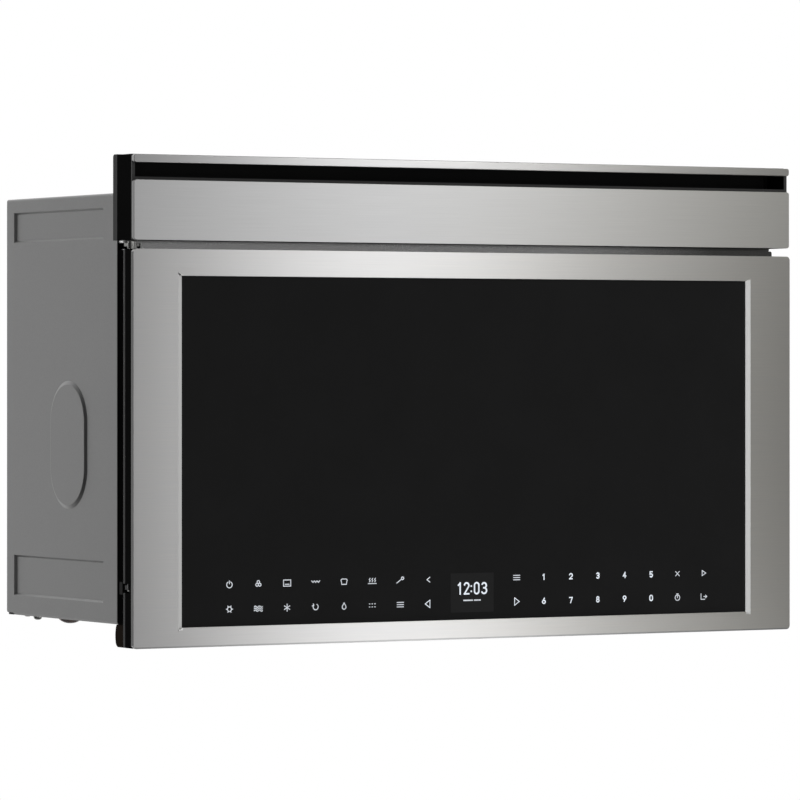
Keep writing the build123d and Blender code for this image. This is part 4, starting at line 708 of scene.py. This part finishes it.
# Camera at the photograph's angle, in pixels of its frame
FRAME_PX = 800
FOCAL_PX = 5170
SHIFT_PX = -35.5
SENSOR_MM = 36.0
CAMERA_PLACE = (-2.6304, -4.7078, 0.0427)
CAMERA_TURN = 29.94
camera_data = bpy.data.cameras.new("camera")
camera_data.sensor_width = SENSOR_MM
camera_data.lens = FOCAL_PX / FRAME_PX * SENSOR_MM
camera_data.shift_y = SHIFT_PX / FRAME_PX
camera_data.clip_end = 60.0
camera = bpy.data.objects.new("camera", camera_data)
camera.location = CAMERA_PLACE
camera.rotation_euler = (math.radians(90), 0, -math.radians(CAMERA_TURN))
scene.collection.objects.link(camera)
scene.camera = camera


# Floor: pale paper, far enough down to leave the low softboxes clear
FLOOR_Z = -1.35
FLOOR_CORNERS = ((-1.8, -1.9), (1.8, -1.9), (1.8, 1.5), (-1.8, 1.5))
floor_mesh = bpy.data.meshes.new("floor")
floor_mesh.from_pydata([(x, y, FLOOR_Z) for x, y in FLOOR_CORNERS], [], [(0, 1, 2, 3)])
floor = bpy.data.objects.new("floor", floor_mesh)
scene.collection.objects.link(floor)
paper = Surface("floor_paper", gray(0.85), 0.8)
paper.tint(paper.noise(6, detail=2.0), gray(0.83))
floor_mesh.materials.append(paper.material)
floor.visible_glossy = False


# Softboxes: two pairs at the front right, whose reflections give the steel its gradient, a large
# one behind at the left for the casing, and a strip in front
FRONT = (0.0, -0.29, 0.0)
PAIR_Y, PAIR_Z = -1.6, 0.85
PAIRS = (("near", 0.73, 0.33, 1.0), ("far", 1.04, 0.45, 0.37))
HIGH_WATTS, LOW_WATTS = 4.0, 3.25


def softbox(name, place, target, size, watts):
    data = bpy.data.lights.new(name, "AREA")
    data.shape = "RECTANGLE"
    data.size, data.size_y = size
    data.energy = watts
    obj = bpy.data.objects.new(name, data)
    obj.location = place
    obj.rotation_euler = (Vector(target) - Vector(place)).to_track_quat("-Z", "Y").to_euler()
    scene.collection.objects.link(obj)
    return obj


for name, x, width, share in PAIRS:
    high, low = (x, PAIR_Y, PAIR_Z), (x, PAIR_Y, -PAIR_Z)
    softbox("softbox_high_" + name, high, FRONT, (width, 0.6), HIGH_WATTS * share)
    softbox("softbox_low_" + name, low, FRONT, (width, 0.5), LOW_WATTS * share)
side_light = softbox("softbox_left", (-1.65, 1.95, 0.62), (-0.38, -0.14, 0.0), (1.5, 1.5), 125)
side_light.visible_glossy = False
softbox("softbox_front_strip", (-0.56, -3.1, 0.0), (0.33, -0.29, 0.0), (0.5, 1.0), 3.2)


# World: white where the camera sees it and through glass. Reflections and diffuse light get a
# studio that is light behind the object and dark in front, with a soft patch at the front left.
WHITE = 1.0
world = bpy.data.worlds.new("studio")
scene.world = world
world.use_nodes = True
world_tree = world.node_tree
world_tree.nodes.clear()
direction = world_tree.nodes.new("ShaderNodeSeparateXYZ")
world_tree.links.new(
    world_tree.nodes.new("ShaderNodeTexCoord").outputs["Generated"], direction.inputs["Vector"],
)


def studio_wall(axis, start, full, low, high):
    """Brightness that rises along one axis of the direction looked in."""
    n = world_tree.nodes.new("ShaderNodeMapRange")
    n.interpolation_type = "SMOOTHSTEP"
    n.inputs["From Min"].default_value = start
    n.inputs["From Max"].default_value = full
    n.inputs["To Min"].default_value = low
    n.inputs["To Max"].default_value = high
    world_tree.links.new(direction.outputs[axis], n.inputs["Value"])
    return n.outputs["Result"]


def combine(operation, a, b):
    n = world_tree.nodes.new("ShaderNodeMath")
    n.operation = operation
    world_tree.links.new(a, n.inputs[0])
    world_tree.links.new(b, n.inputs[1])
    return n.outputs["Value"]


behind = studio_wall("Y", -0.25, 0.35, 0.16, 0.9)
left = studio_wall("X", -0.9, -0.1, 0.03, 0.9)
right = studio_wall("X", 0.7, 0.93, 0.0, 0.5)
ground = studio_wall("Z", -0.6, -0.25, 0.3, 1.0)
patch_left = studio_wall("X", -0.84, -0.7, 0.0, 1.0)
patch_right = studio_wall("X", -0.3, -0.42, 0.0, 1.0)
patch_front = studio_wall("Y", -0.4, -0.6, 0.0, 0.42)
patch = combine("MULTIPLY", combine("MULTIPLY", patch_left, patch_right), patch_front)
walls = combine("MAXIMUM", combine("MINIMUM", behind, left), right)
studio = combine("MULTIPLY", combine("MAXIMUM", walls, patch), ground)
rays = world_tree.nodes.new("ShaderNodeLightPath")
seen = combine("MAXIMUM", rays.outputs["Is Camera Ray"], rays.outputs["Is Transmission Ray"])
brightness = world_tree.nodes.new("ShaderNodeMix")
world_tree.links.new(seen, brightness.inputs["Factor"])
world_tree.links.new(studio, brightness.inputs["A"])
brightness.inputs["B"].default_value = WHITE
backdrop = world_tree.nodes.new("ShaderNodeBackground")
backdrop.inputs["Color"].default_value = (1, 1, 1, 1)
world_tree.links.new(brightness.outputs["Result"], backdrop.inputs["Strength"])
out = world_tree.nodes.new("ShaderNodeOutputWorld")
world_tree.links.new(backdrop.outputs["Background"], out.inputs["Surface"])

scene.view_settings.view_transform = "Standard"
